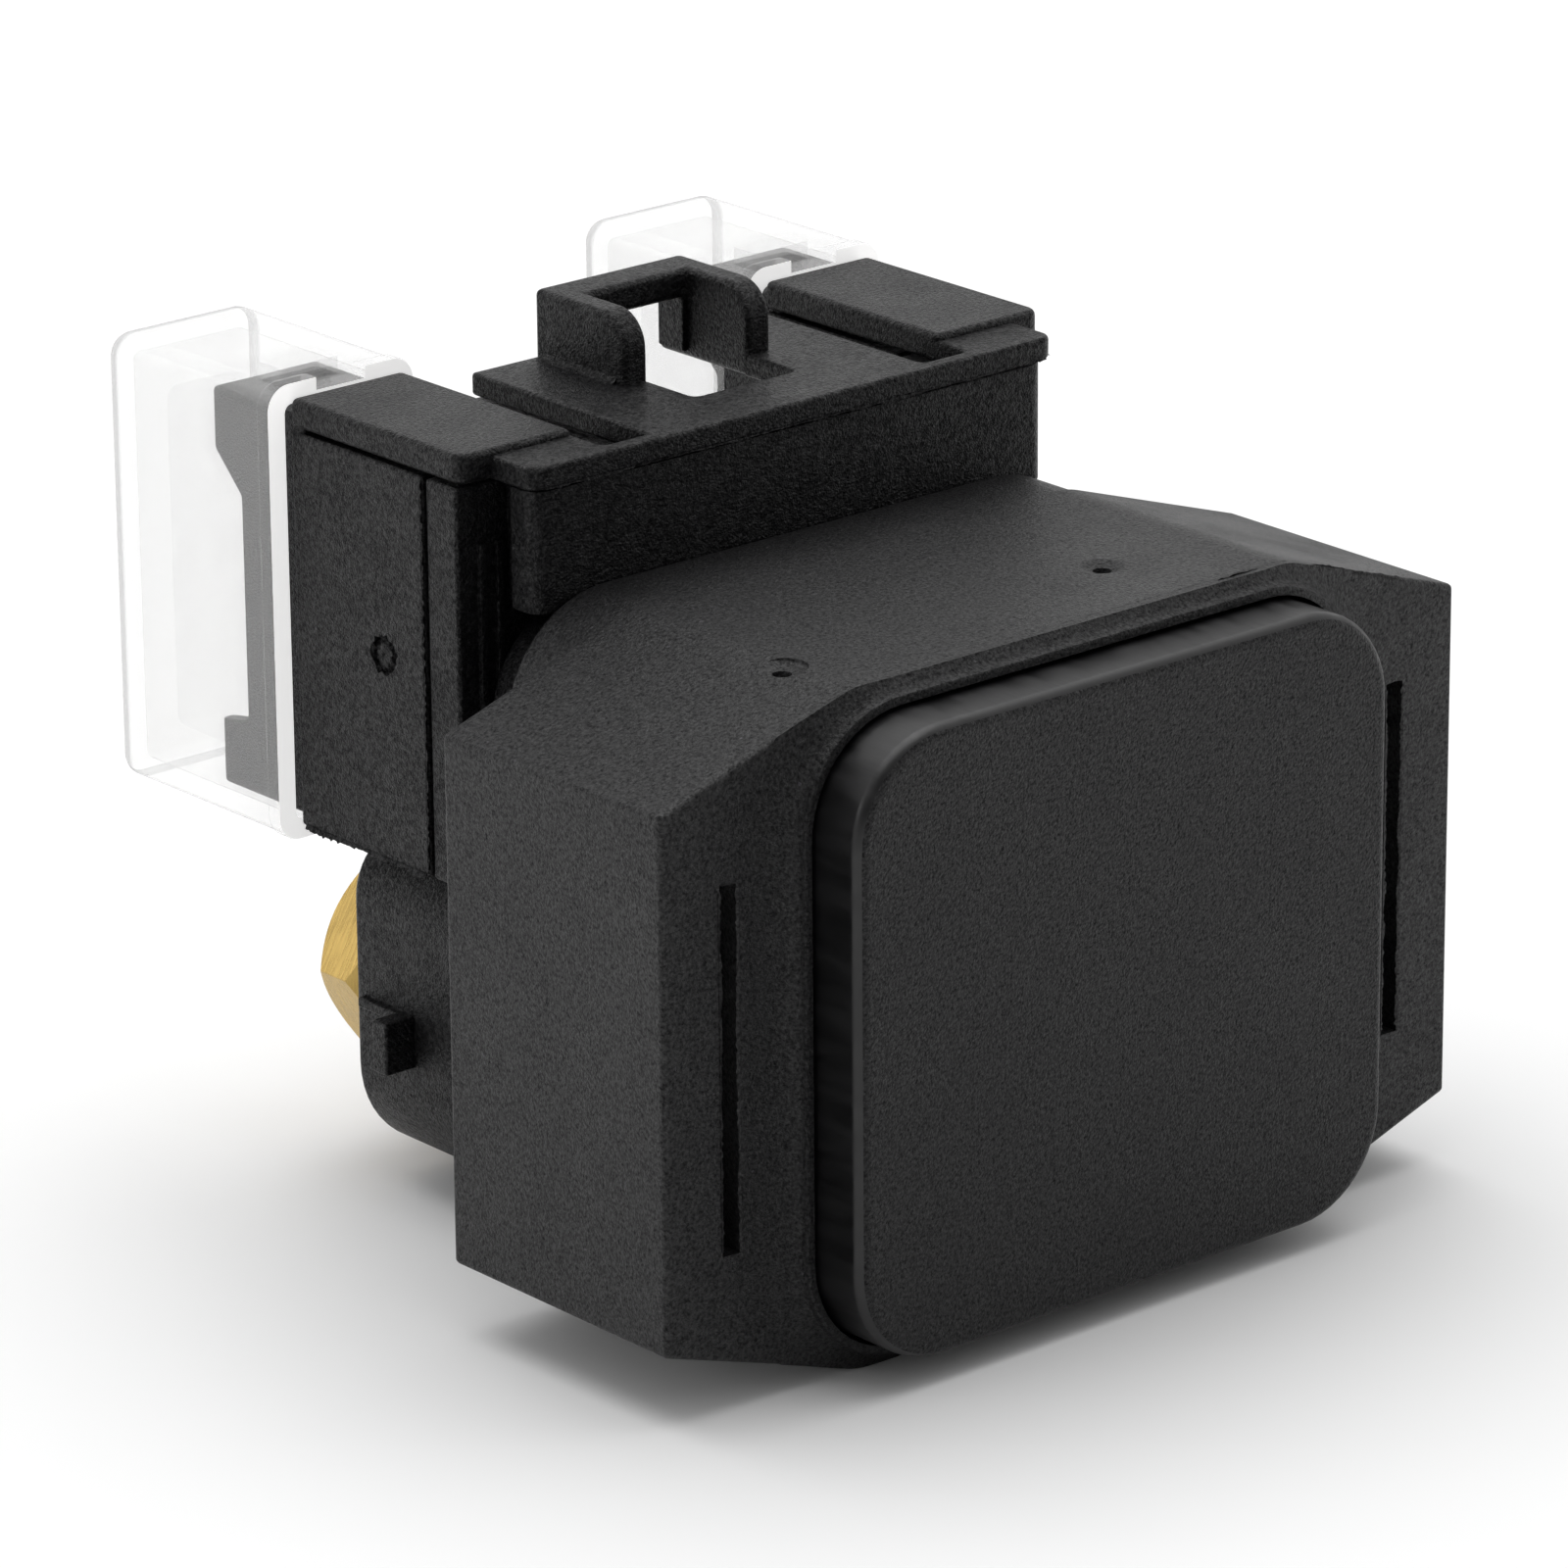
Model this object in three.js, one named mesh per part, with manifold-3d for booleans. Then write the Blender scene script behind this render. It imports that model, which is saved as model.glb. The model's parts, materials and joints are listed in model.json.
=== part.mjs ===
// Starter relay in a rubber vibration damper, with a plug socket between two covered blade-fuse holders
// and two brass terminal bolts behind. Millimetres, +Z up. The damper's ears face the front (-Y), the
// socket, the fuses and the terminals point to the back (+Y).

import * as THREE from 'three';
import { mergeVertices } from 'three/addons/utils/BufferGeometryUtils.js';
import Module from 'manifold-3d';

const wasm = await Module();
wasm.setup();

// ---------------------------------------------------------------- driving dimensions

const GAP = 0.25; // between pieces that lie against each other
const ARC_STEPS = 4; // segments in a quarter of a rounded corner

const DAMPER = {
  halfWidth: 27,
  halfHeight: 18.15,
  crownHalfWidth: 14.8,
  earHalfHeight: 14.15,
  earDepth: 16.8,
  collarHalfWidth: 19.8,
  collarCorner: 6.5,
  collarDepth: 20.8,
  lipWall: 0.75,
  lipHeight: 1.2,
  slotX: 22.75,
  slotThickness: 1.14,
  slotHalfHeight: 9.75,
};

const CASE = {
  halfWidth: 18.1,
  halfHeight: 16.7,
  corner: 5.6,
  wall: 1.6,
  front: -4.4,
  back: 21.4,
  edge: 0.6,
};

const BASE = {
  flangeFront: 22.25,
  flangeBack: 24,
  back: 36,
  top: 1.7,
  topCorner: 3.6,
  wall: 1.7,
  backWall: 2,
};

// Wall between the two terminals, and the lugs on the sides of the terminal base.
const BARRIER = { half: 0.8, back: 43, bottom: -15.2, top: 0.8, bevel: 2 };
const LUG = {
  reach: 1.9,
  y: [31, 32.2],
  bottom: -10.1,
  top: -7.2,
  ledgeReach: 0.4,
  ledgeBack: 35.3,
  ledge: 0.5,
};

const TERMINAL = {
  x: 11,
  z: -7.7,
  contactY: 29.1,
  contactRadius: 5,
  contactThickness: 1.3,
  bodyRadius: 4.2,
  seatY: 36.6,
  boreRadius: 2.95,
  boreBottom: 31,
};

const BOLT = {
  shankRadius: 2.75,
  tip: 31.3,
  headFront: 37.8,
  headHeight: 4,
  acrossFlats: 10,
  washerFront: 36.75,
  washerThickness: 0.9,
  washerInner: 3.1,
  washerOuter: 4.9,
};

const HOUSING = {
  front: 21,
  wallBack: 23.2,
  wingFront: 24.4,
  wingBack: 26.9,
  back: 36.2,
  wallHalfWidth: 17.4,
  wingHalfWidth: 19.8,
  boxHalfWidth: 9.3,
  bottom: 2,
  wallBottom: 17.05,
  top: 23.6,
  socketHalfWidth: 8,
  socketBottom: 4,
  socketFloor: 26.6,
  corner: 1,
  neckInset: 0.9,
};

// Upright ribs in the recess between the front wall and the wings.
const RIB = { x: [17.2, 18.3], halfWidth: 0.22, bottom: 11.3, top: 20.4, depth: 0.3 };

const CAP = {
  bottom: 23.75,
  top: 25,
  lidTop: 25.35,
  barFront: 20.7,
  barBack: 21.7,
  barHalfWidth: 17.8,
  lidFront: 24,
  lidBack: 38,
  lidInner: 12.4,
  windowHalf: 3.4,
  windowFront: 25.05,
  barCorner: 0.9,
  lidCorners: [0.8, 0.4, 0.4, 0.4],
};

const BRIDGE = {
  halfWidth: 5,
  passageHalf: 3.1,
  armFront: 28.8,
  barFront: 33.7,
  barBottom: 27.1,
  top: 28.7,
  corner: 2,
};

const HOLDER = {
  inner: 12.4,
  outer: 19.8,
  front: 27.2,
  shoulder: 38,
  centreX: 16.25,
  neckInner: 12.8,
  neckOuter: 19.7,
  neckBottom: 2.6,
  neckTop: 24.5,
  neckBack: 44.8,
  notchFront: 42.45,
  notchBottom: 6.6,
  notchTop: 19.0,
  notchChamfer: 1.7,
};

const FUSE = {
  centreZ: 13.55,
  thickness: 5.1,
  width: 19.1,
  front: 38.3,
  back: 50.2,
  bladeThickness: 0.65,
  bladeInner: 2,
  bladeOuter: 7.2,
  bladeTip: 32.3,
  linkFront: 43.4,
  linkBack: 44.6,
};

const COVER = {
  centreX: 16.2,
  halfWidth: 4.7,
  halfHeight: 12.35,
  corner: 1.2,
  innerCorner: 0.4,
  wall: 1,
  front: 38.3,
  back: 52.5,
  rim: 0.3,
  rimDepth: 1,
};

const COIL = {
  z: -3,
  boreRadius: 5.1,
  tubeRadius: 5.9,
  windingRadius: 11.1,
  flangeRadius: 11.6,
  front: -0.4,
  back: 19.1,
  flange: 1.15,
};

const PLUNGER = {
  radius: 4.8,
  front: -0.3,
  back: 7.9,
  rodRadius: 1.4,
  rodFront: 3.9,
  rodBack: 30,
};

const PIN = { x: 3.6, rows: [8.9, 14.2], halfWidth: 1.15, halfThickness: 0.4, front: 20.6, back: 33.8 };

// Centre of the whole object's box in Y, and the damper's half height, put the origin at the middle of
// the face that the relay stands on.
const DEPTH_CENTRE = (CASE.front + COVER.back) / 2;

// ---------------------------------------------------------------- solids

function solid(geometry) {
  const bare = geometry.clone();
  bare.deleteAttribute('normal');
  bare.deleteAttribute('uv');
  const merged = mergeVertices(bare, 1e-4);
  const mesh = new wasm.Mesh({
    numProp: 3,
    vertProperties: new Float32Array(merged.attributes.position.array),
    triVerts: new Uint32Array(merged.index.array),
  });
  return new wasm.Manifold(mesh);
}

function toGeometry(manifold) {
  const mesh = manifold.getMesh();
  const geometry = new THREE.BufferGeometry();
  geometry.setAttribute('position', new THREE.BufferAttribute(mesh.vertProperties, 3));
  geometry.setIndex(new THREE.BufferAttribute(mesh.triVerts, 1));
  geometry.computeVertexNormals();
  return geometry;
}

function union(first, ...others) {
  return others.reduce((sum, other) => sum.add(other), first);
}

function cut(first, ...others) {
  return others.reduce((rest, other) => rest.subtract(other), first);
}

function box([x0, x1], [y0, y1], [z0, z1]) {
  const geometry = new THREE.BoxGeometry(x1 - x0, y1 - y0, z1 - z0);
  geometry.translate((x0 + x1) / 2, (y0 + y1) / 2, (z0 + z1) / 2);
  return solid(geometry);
}

// The same box on both sides of the middle plane.
function bothSides([x0, x1], y, z) {
  return union(box([x0, x1], y, z), box([-x1, -x0], y, z));
}

// An outline drawn in X and Z, extruded along Y.
function prismY(outline, y0, y1, bevel = 0) {
  const geometry = new THREE.ExtrudeGeometry(outline, {
    depth: y1 - y0 - 2 * bevel,
    curveSegments: ARC_STEPS,
    bevelEnabled: bevel > 0,
    bevelThickness: bevel,
    bevelSize: bevel,
    bevelOffset: -bevel,
    bevelSegments: 2,
  });
  geometry.rotateX(Math.PI / 2);
  geometry.translate(0, y1 - bevel, 0);
  return solid(geometry);
}

// An outline drawn in Y and Z, extruded along X.
function prismX(outline, x0, x1) {
  const geometry = new THREE.ExtrudeGeometry(outline, {
    depth: x1 - x0,
    curveSegments: ARC_STEPS,
    bevelEnabled: false,
  });
  geometry.applyMatrix4(new THREE.Matrix4().set(0, 0, 1, x0, 1, 0, 0, 0, 0, 1, 0, 0, 0, 0, 0, 1));
  return solid(geometry);
}

// An outline drawn in X and Y, extruded along Z.
function prismZ(outline, z0, z1) {
  const geometry = new THREE.ExtrudeGeometry(outline, {
    depth: z1 - z0,
    curveSegments: ARC_STEPS,
    bevelEnabled: false,
  });
  geometry.translate(0, 0, z0);
  return solid(geometry);
}

// A profile of [radius, y] points turned about a Y axis through (x, z).
function turned(profile, x, z, segments = 28) {
  const points = profile.map(([radius, y]) => new THREE.Vector2(radius, y));
  const geometry = new THREE.LatheGeometry(points, segments);
  geometry.translate(x, 0, z);
  return solid(geometry);
}

function disc(radius, y0, y1, x, z, segments) {
  return turned([[0, y0], [radius, y0], [radius, y1], [0, y1]], x, z, segments);
}

function ring(inner, outer, y0, y1, x, z, segments) {
  return turned([[inner, y0], [outer, y0], [outer, y1], [inner, y1], [inner, y0]], x, z, segments);
}

function polygon(points) {
  return new THREE.Shape(points.map(([a, b]) => new THREE.Vector2(a, b)));
}

// Corners are given as radii: bottom right, top right, top left, bottom left. A radius of 0 is square.
function roundedOutline(x0, x1, z0, z1, radii) {
  const [br, tr, tl, bl] = Array.isArray(radii) ? radii : [radii, radii, radii, radii];
  const shape = new THREE.Shape();
  const corners = [
    [x1 - br, z0 + br, br],
    [x1 - tr, z1 - tr, tr],
    [x0 + tl, z1 - tl, tl],
    [x0 + bl, z0 + bl, bl],
  ];
  corners.forEach(([x, z, radius], quarter) => {
    const start = ((quarter - 1) * Math.PI) / 2;
    if (radius > 0) {
      shape.absarc(x, z, radius, start, start + Math.PI / 2);
    } else if (quarter === 0) {
      shape.moveTo(x, z);
    } else {
      shape.lineTo(x, z);
    }
  });
  return shape;
}

function roundedRect(halfWidth, halfHeight, corner, x = 0, z = 0) {
  return roundedOutline(x - halfWidth, x + halfWidth, z - halfHeight, z + halfHeight, corner);
}

class Helix extends THREE.Curve {
  constructor(radius, y0, y1, turns, z) {
    super();
    Object.assign(this, { radius, y0, y1, turns, z });
  }

  getPoint(t, target = new THREE.Vector3()) {
    const angle = 2 * Math.PI * this.turns * t;
    const y = this.y0 + (this.y1 - this.y0) * t;
    return target.set(this.radius * Math.cos(angle), y, this.z + this.radius * Math.sin(angle));
  }
}

function wire(path, radius, steps, sides = 8) {
  const section = polygon(
    Array.from({ length: sides }, (_, i) => {
      const angle = (2 * Math.PI * i) / sides;
      return [radius * Math.cos(angle), radius * Math.sin(angle)];
    }),
  );
  return solid(new THREE.ExtrudeGeometry(section, { steps, extrudePath: path, bevelEnabled: false }));
}

// ---------------------------------------------------------------- rubber damper and solenoid case

function rubberDamper() {
  const d = DAMPER;
  const octagon = polygon([
    [-d.halfWidth, -d.earHalfHeight],
    [-d.crownHalfWidth, -d.halfHeight],
    [d.crownHalfWidth, -d.halfHeight],
    [d.halfWidth, -d.earHalfHeight],
    [d.halfWidth, d.earHalfHeight],
    [d.crownHalfWidth, d.halfHeight],
    [-d.crownHalfWidth, d.halfHeight],
    [-d.halfWidth, d.earHalfHeight],
  ]);
  const lip = roundedRect(CASE.halfWidth + d.lipWall, CASE.halfHeight + d.lipWall, CASE.corner + d.lipWall);
  const bore = roundedRect(CASE.halfWidth + GAP, CASE.halfHeight + GAP, CASE.corner + GAP);
  const body = union(
    prismY(octagon, 0, d.earDepth),
    prismY(roundedRect(d.collarHalfWidth, d.halfHeight, d.collarCorner), 1, d.collarDepth),
    prismY(lip, -d.lipHeight, 1),
  );
  const slotX = [d.slotX - d.slotThickness / 2, d.slotX + d.slotThickness / 2];
  const slots = bothSides(slotX, [-1, d.earDepth + 1], [-d.slotHalfHeight, d.slotHalfHeight]);
  return cut(body, prismY(bore, -2, d.collarDepth + 1), slots);
}

function relayCase() {
  const c = CASE;
  const outer = roundedRect(c.halfWidth, c.halfHeight, c.corner);
  const inner = roundedRect(c.halfWidth - c.wall, c.halfHeight - c.wall, c.corner - c.wall);
  const shell = union(prismY(outer, c.front, c.front + 4, c.edge), prismY(outer, c.front + 1, c.back));
  return cut(shell, prismY(inner, c.front + c.wall, c.back + 1));
}

function caseSeal() {
  const c = CASE;
  const outer = roundedRect(c.halfWidth - 0.2, c.halfHeight - 0.2, c.corner - 0.2);
  const inner = roundedRect(c.halfWidth - 1.4, c.halfHeight - 1.4, c.corner - 1.4);
  const front = c.back + 0.15;
  const back = BASE.flangeFront - 0.15;
  return cut(prismY(outer, front, back), prismY(inner, front - 1, back + 1));
}

// ---------------------------------------------------------------- terminal base

const CHAMBER = {
  halfWidth: CASE.halfWidth - 1.8,
  bottom: -CASE.halfHeight + BASE.wall,
  top: 0.1,
  back: BASE.back - BASE.backWall,
  corners: [4, 2, 2, 4],
};

const STRAP = { x: [-16.1, -13.7], y: [30.55, 31.35], top: 9.5, hole: TERMINAL.bodyRadius + 0.2 };

function pinSlots(y0, y1) {
  const slots = [];
  for (const x of [-PIN.x, PIN.x]) {
    for (const z of PIN.rows) {
      const halfWidth = PIN.halfWidth + GAP;
      const halfThickness = PIN.halfThickness + GAP;
      slots.push(box([x - halfWidth, x + halfWidth], [y0, y1], [z - halfThickness, z + halfThickness]));
    }
  }
  return slots;
}

function strapSlot(z0, z1) {
  return box([STRAP.x[0] - GAP, STRAP.x[1] + GAP], [STRAP.y[0] - GAP, STRAP.y[1] + GAP], [z0, z1]);
}

function terminalBase() {
  const b = BASE;
  const flange = roundedRect(CASE.halfWidth, CASE.halfHeight, CASE.corner);
  const tail = roundedOutline(-CASE.halfWidth, CASE.halfWidth, -CASE.halfHeight, b.top, [
    CASE.corner,
    b.topCorner,
    b.topCorner,
    CASE.corner,
  ]);
  const r = BARRIER;
  const barrier = polygon([
    [b.back - 1, r.bottom],
    [r.back - r.bevel, r.bottom],
    [r.back, r.bottom + r.bevel],
    [r.back, r.top - r.bevel],
    [r.back - r.bevel, r.top],
    [b.back - 1, r.top],
  ]);
  const lugInner = CASE.halfWidth - 0.5;
  const ledge = [LUG.top - LUG.ledge, LUG.top];
  const body = union(
    prismY(flange, b.flangeFront, b.flangeBack),
    prismY(tail, b.flangeFront + 0.5, b.back),
    prismX(barrier, -r.half, r.half),
    bothSides([lugInner, CASE.halfWidth + LUG.reach], LUG.y, [LUG.bottom, LUG.top]),
    bothSides([lugInner, CASE.halfWidth + LUG.ledgeReach], [LUG.y[0], LUG.ledgeBack], ledge),
  );
  const { halfWidth, bottom, top, corners } = CHAMBER;
  const chamber = roundedOutline(-halfWidth, halfWidth, bottom, top, corners);
  const bores = [-TERMINAL.x, TERMINAL.x].map((x) =>
    disc(TERMINAL.bodyRadius + GAP, CHAMBER.back - 1, b.back + 1, x, TERMINAL.z),
  );
  return cut(
    body,
    prismY(chamber, b.flangeFront - 1, CHAMBER.back),
    ...bores,
    ...pinSlots(b.flangeFront - 1, b.flangeBack + 1),
    strapSlot(CHAMBER.top - 1, b.top + 1),
  );
}

// ---------------------------------------------------------------- socket housing and top cap

function connectorHousing() {
  const h = HOUSING;
  const wallCorners = [h.corner, 0, 0, h.corner];
  const wall = roundedOutline(-h.wallHalfWidth, h.wallHalfWidth, h.front, h.wallBack, wallCorners);
  const neckHalf = h.wallHalfWidth - h.neckInset;
  const ribY = [h.wingFront - RIB.depth, h.wingFront + 1];
  const ribZ = [RIB.bottom, RIB.top];
  const ribs = RIB.x.map((x) => bothSides([x - RIB.halfWidth, x + RIB.halfWidth], ribY, ribZ));
  const body = union(
    box([-h.wingHalfWidth, h.wingHalfWidth], [h.wingFront, h.wingBack], [h.bottom, h.top]),
    box([-h.boxHalfWidth, h.boxHalfWidth], [h.wingFront, h.back], [h.bottom, h.top]),
    prismZ(wall, h.wallBottom, h.top),
    box([-neckHalf, neckHalf], [h.wallBack - 0.5, h.wingFront + 0.5], [h.wallBottom, h.top]),
    ...ribs,
  );
  const socket = box(
    [-h.socketHalfWidth, h.socketHalfWidth],
    [h.socketFloor, h.back + 1],
    [h.socketBottom, h.top + 1],
  );
  return cut(body, socket, ...pinSlots(h.wingFront - 1, h.socketFloor + 1));
}

function topCap() {
  const c = CAP;
  const b = BRIDGE;
  const z = [c.bottom, c.top];
  const lid = roundedOutline(c.lidInner, HOLDER.outer, c.lidFront, c.lidBack, c.lidCorners);
  const mirroredCorners = [...c.lidCorners].reverse();
  const mirroredLid = roundedOutline(-HOLDER.outer, -c.lidInner, c.lidFront, c.lidBack, mirroredCorners);
  const barCorners = [c.barCorner, 0, 0, c.barCorner];
  const bar = roundedOutline(-c.barHalfWidth, c.barHalfWidth, c.barFront, c.barBack, barCorners);
  const arm = new THREE.Shape();
  arm.moveTo(b.armFront, c.bottom);
  arm.lineTo(HOUSING.back, c.bottom);
  arm.lineTo(HOUSING.back, b.top);
  arm.absarc(b.armFront + b.corner, b.top - b.corner, b.corner, Math.PI / 2, Math.PI);
  const body = union(
    prismZ(bar, ...z),
    box([-HOUSING.boxHalfWidth, HOUSING.boxHalfWidth], [c.barBack - 0.5, HOUSING.back], z),
    bothSides([c.lidInner, c.barHalfWidth], [c.barBack - 0.5, c.lidFront + 0.2], z),
    prismZ(lid, c.bottom, c.lidTop),
    prismZ(mirroredLid, c.bottom, c.lidTop),
    prismX(arm, b.passageHalf, b.halfWidth),
    prismX(arm, -b.halfWidth, -b.passageHalf),
    box([-b.halfWidth, b.halfWidth], [b.barFront, HOUSING.back], [b.barBottom, b.top]),
  );
  const window = box([-c.windowHalf, c.windowHalf], [c.windowFront, b.barFront], [c.bottom - 1, b.top + 1]);
  const passage = box(
    [-b.passageHalf, b.passageHalf],
    [b.barFront - 1, HOUSING.back + 1],
    [c.bottom - 1, b.barBottom],
  );
  return cut(body, window, passage);
}

// ---------------------------------------------------------------- fuse holders, covers and fuses

const POCKETS = [-1, 1].map((side) => {
  const middle = FUSE.centreZ + (side * (FUSE.bladeInner + FUSE.bladeOuter)) / 2;
  return [middle - 3.1, middle + 3.1];
});

// side is -1 for the battery side, +1 for the spare side.
function fuseHolder(side) {
  const h = HOLDER;
  const x = (a, b) => (side > 0 ? [a, b] : [-b, -a]);
  const notch = polygon([
    [h.notchFront, h.notchBottom],
    [h.neckBack + 1, h.notchBottom],
    [h.neckBack + 1, h.notchTop + h.notchChamfer + 1],
    [h.notchFront + h.notchChamfer + 1, h.notchTop + h.notchChamfer + 1],
    [h.notchFront, h.notchTop],
  ]);
  const body = union(
    box(x(h.inner, h.outer), [h.front, h.shoulder], [HOUSING.bottom, HOUSING.top]),
    box(x(h.neckInner, h.neckOuter), [h.shoulder - 1, h.neckBack], [h.neckBottom, HOUSING.top]),
    box(x(h.neckInner, h.neckOuter), [h.shoulder + 0.2, h.neckBack], [20, h.neckTop]),
    box(x(h.centreX - 1.6, h.centreX + 1.6), [41.1, 42.4], [h.neckTop - 0.5, h.neckTop + 0.25]),
  );
  const seatHalf = FUSE.thickness / 2 + 0.15;
  const seatX = x(h.centreX - seatHalf, h.centreX + seatHalf);
  const seatZ = [FUSE.centreZ - FUSE.width / 2 - 0.2, FUSE.centreZ + FUSE.width / 2 + 0.2];
  const cuts = [
    box(seatX, [h.shoulder + 0.1, h.neckBack + 1], seatZ),
    ...POCKETS.map((z) => box(seatX, [h.front + 1.3, h.shoulder + 1], z)),
    prismX(notch, ...x(h.neckInner - 1, h.neckOuter + 1)),
  ];
  if (side < 0) {
    cuts.push(strapSlot(HOUSING.bottom - 1, POCKETS[0][0] + 1));
  }
  return cut(body, ...cuts);
}

function fuseCover(side) {
  const c = COVER;
  const outline = (grow) =>
    roundedRect(c.halfWidth + grow, c.halfHeight + grow, c.corner + grow, side * c.centreX, FUSE.centreZ);
  const shell = union(
    prismY(outline(0), c.front + 0.4, c.back, 0.35),
    prismY(outline(0), c.front, c.back - 1),
    prismY(outline(c.rim), c.front, c.front + c.rimDepth),
  );
  const x = side * c.centreX;
  const roof = FUSE.centreZ + c.halfHeight;
  const inside = roundedRect(c.halfWidth - c.wall, c.halfHeight - c.wall, c.innerCorner, x, FUSE.centreZ);
  return cut(
    shell,
    prismY(inside, c.front - 1, c.back - c.wall),
    box([x - 1.9, x + 1.9], [40.9, 42.8], [roof - c.wall - 0.5, roof + 1]),
    box([x - 1.6, x + 1.6], [c.front - 1, c.front + 1.3], [roof - c.wall + 0.4, roof + 1]),
  );
}

function fuseBody(side) {
  const f = FUSE;
  const x = side * HOLDER.centreX;
  const outline = roundedRect(f.thickness / 2, f.width / 2, 0.7, x, f.centreZ);
  const slotHalf = f.bladeThickness / 2 + 0.2;
  const slot = box(
    [x - slotHalf, x + slotHalf],
    [f.front - 1, f.linkBack + 0.3],
    [f.centreZ - f.bladeOuter - 0.3, f.centreZ + f.bladeOuter + 0.3],
  );
  return cut(prismY(outline, f.front, f.back, 0.3), slot);
}

// Two blades joined by the thin fusible link, as one stamping.
function fuseElement(side) {
  const f = FUSE;
  const blade = (sign) => {
    const inner = f.centreZ + sign * f.bladeInner;
    const outer = f.centreZ + sign * f.bladeOuter;
    return [
      [f.linkBack, inner],
      [f.bladeTip + 0.8, inner],
      [f.bladeTip, inner + sign * 1.2],
      [f.bladeTip, outer - sign * 1.2],
      [f.bladeTip + 0.8, outer],
      [f.linkBack, outer],
    ];
  };
  const x = [side * HOLDER.centreX - f.bladeThickness / 2, side * HOLDER.centreX + f.bladeThickness / 2];
  const link = box(x, [f.linkFront, f.linkBack - 0.3], [f.centreZ - 2.5, f.centreZ + 2.5]);
  return union(prismX(polygon(blade(-1).reverse()), ...x), prismX(polygon(blade(1)), ...x), link);
}

// Spring clip that grips one blade between two leaves.
function fuseClip(index) {
  const [z0, z1] = POCKETS[index];
  const x = -HOLDER.centreX;
  const grip = FUSE.bladeThickness / 2 + 0.15;
  const leaf = 0.45;
  const front = STRAP.y[1] + GAP;
  const tip = 37.6;
  const outline = polygon([
    [x - grip - leaf - 0.5, front + 1.6],
    [x - grip - leaf - 0.5, front],
    [x + grip + leaf + 0.5, front],
    [x + grip + leaf + 0.5, front + 1.6],
    [x + grip + leaf, tip - 1],
    [x + grip + leaf + 0.5, tip],
    [x + grip + 0.5, tip],
    [x + grip, tip - 1],
    [x + grip + 0.5, front + 1.6],
    [x + grip + 0.5, front + leaf],
    [x - grip - 0.5, front + leaf],
    [x - grip - 0.5, front + 1.6],
    [x - grip, tip - 1],
    [x - grip - 0.5, tip],
    [x - grip - leaf - 0.5, tip],
    [x - grip - leaf, tip - 1],
  ]);
  return prismZ(outline, z0 + 0.4, z1 - 0.4);
}

// Brass strap from the battery terminal up to the first fuse clip.
function fuseStrap() {
  const t = TERMINAL;
  const [y0, y1] = STRAP.y;
  const ringHalf = CHAMBER.halfWidth - t.x - 0.15;
  return cut(
    union(
      disc(ringHalf, y0, y1, -t.x, t.z),
      box(STRAP.x, [y0, y1], [t.z, STRAP.top]),
    ),
    disc(STRAP.hole, y0 - 1, y1 + 1, -t.x, t.z),
  );
}

// ---------------------------------------------------------------- terminals, bolts and socket pins

function contactTerminal(side) {
  const t = TERMINAL;
  const neck = t.contactY + t.contactThickness;
  return turned(
    [
      [0, t.contactY],
      [t.contactRadius - 0.4, t.contactY],
      [t.contactRadius, t.contactY + 0.4],
      [t.contactRadius, neck],
      [t.bodyRadius, neck],
      [t.bodyRadius, t.seatY],
      [t.boreRadius, t.seatY],
      [t.boreRadius, t.boreBottom],
      [0, t.boreBottom],
    ],
    side * t.x,
    t.z,
  );
}

function terminalSeal(side) {
  const inner = TERMINAL.bodyRadius + 0.1;
  const back = CHAMBER.back - 0.1;
  return ring(inner, inner + 0.8, back - 1, back, side * TERMINAL.x, TERMINAL.z, 30);
}

function lockWasher(side) {
  const b = BOLT;
  const x = side * TERMINAL.x;
  const split = box([x - 0.3, x + 0.3], [b.washerFront - 1, b.washerFront + 3], [TERMINAL.z, TERMINAL.z + 8]);
  const washer = ring(
    b.washerInner,
    b.washerOuter,
    b.washerFront,
    b.washerFront + b.washerThickness,
    x,
    TERMINAL.z,
    30,
  );
  return cut(washer, split);
}

function terminalBolt(side) {
  const b = BOLT;
  const x = side * TERMINAL.x;
  const back = b.headFront + b.headHeight;
  const cornerRadius = b.acrossFlats / Math.sqrt(3);
  const hexagon = polygon(
    Array.from({ length: 6 }, (_, i) => {
      const angle = (Math.PI / 3) * i;
      return [x + cornerRadius * Math.cos(angle), TERMINAL.z + cornerRadius * Math.sin(angle)];
    }),
  );
  const chamfered = turned(
    [
      [0, b.headFront],
      [cornerRadius + 0.1, b.headFront],
      [cornerRadius + 0.1, back - 0.7],
      [b.acrossFlats / 2 - 0.2, back],
      [0, back],
    ],
    x,
    TERMINAL.z,
    36,
  );
  const head = prismY(hexagon, b.headFront, back).intersect(chamfered);
  const shank = turned(
    [
      [0, b.tip],
      [b.shankRadius - 0.6, b.tip],
      [b.shankRadius, b.tip + 0.6],
      [b.shankRadius, b.headFront + 1],
      [0, b.headFront + 1],
    ],
    x,
    TERMINAL.z,
    30,
  );
  return union(head, shank);
}

function connectorPin(x, z) {
  const taper = 1.2;
  const outline = polygon([
    [x - PIN.halfWidth, PIN.front],
    [x + PIN.halfWidth, PIN.front],
    [x + PIN.halfWidth, PIN.back - taper],
    [x + PIN.halfWidth - 0.5, PIN.back],
    [x - PIN.halfWidth + 0.5, PIN.back],
    [x - PIN.halfWidth, PIN.back - taper],
  ]);
  return prismZ(outline, z - PIN.halfThickness, z + PIN.halfThickness);
}

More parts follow.
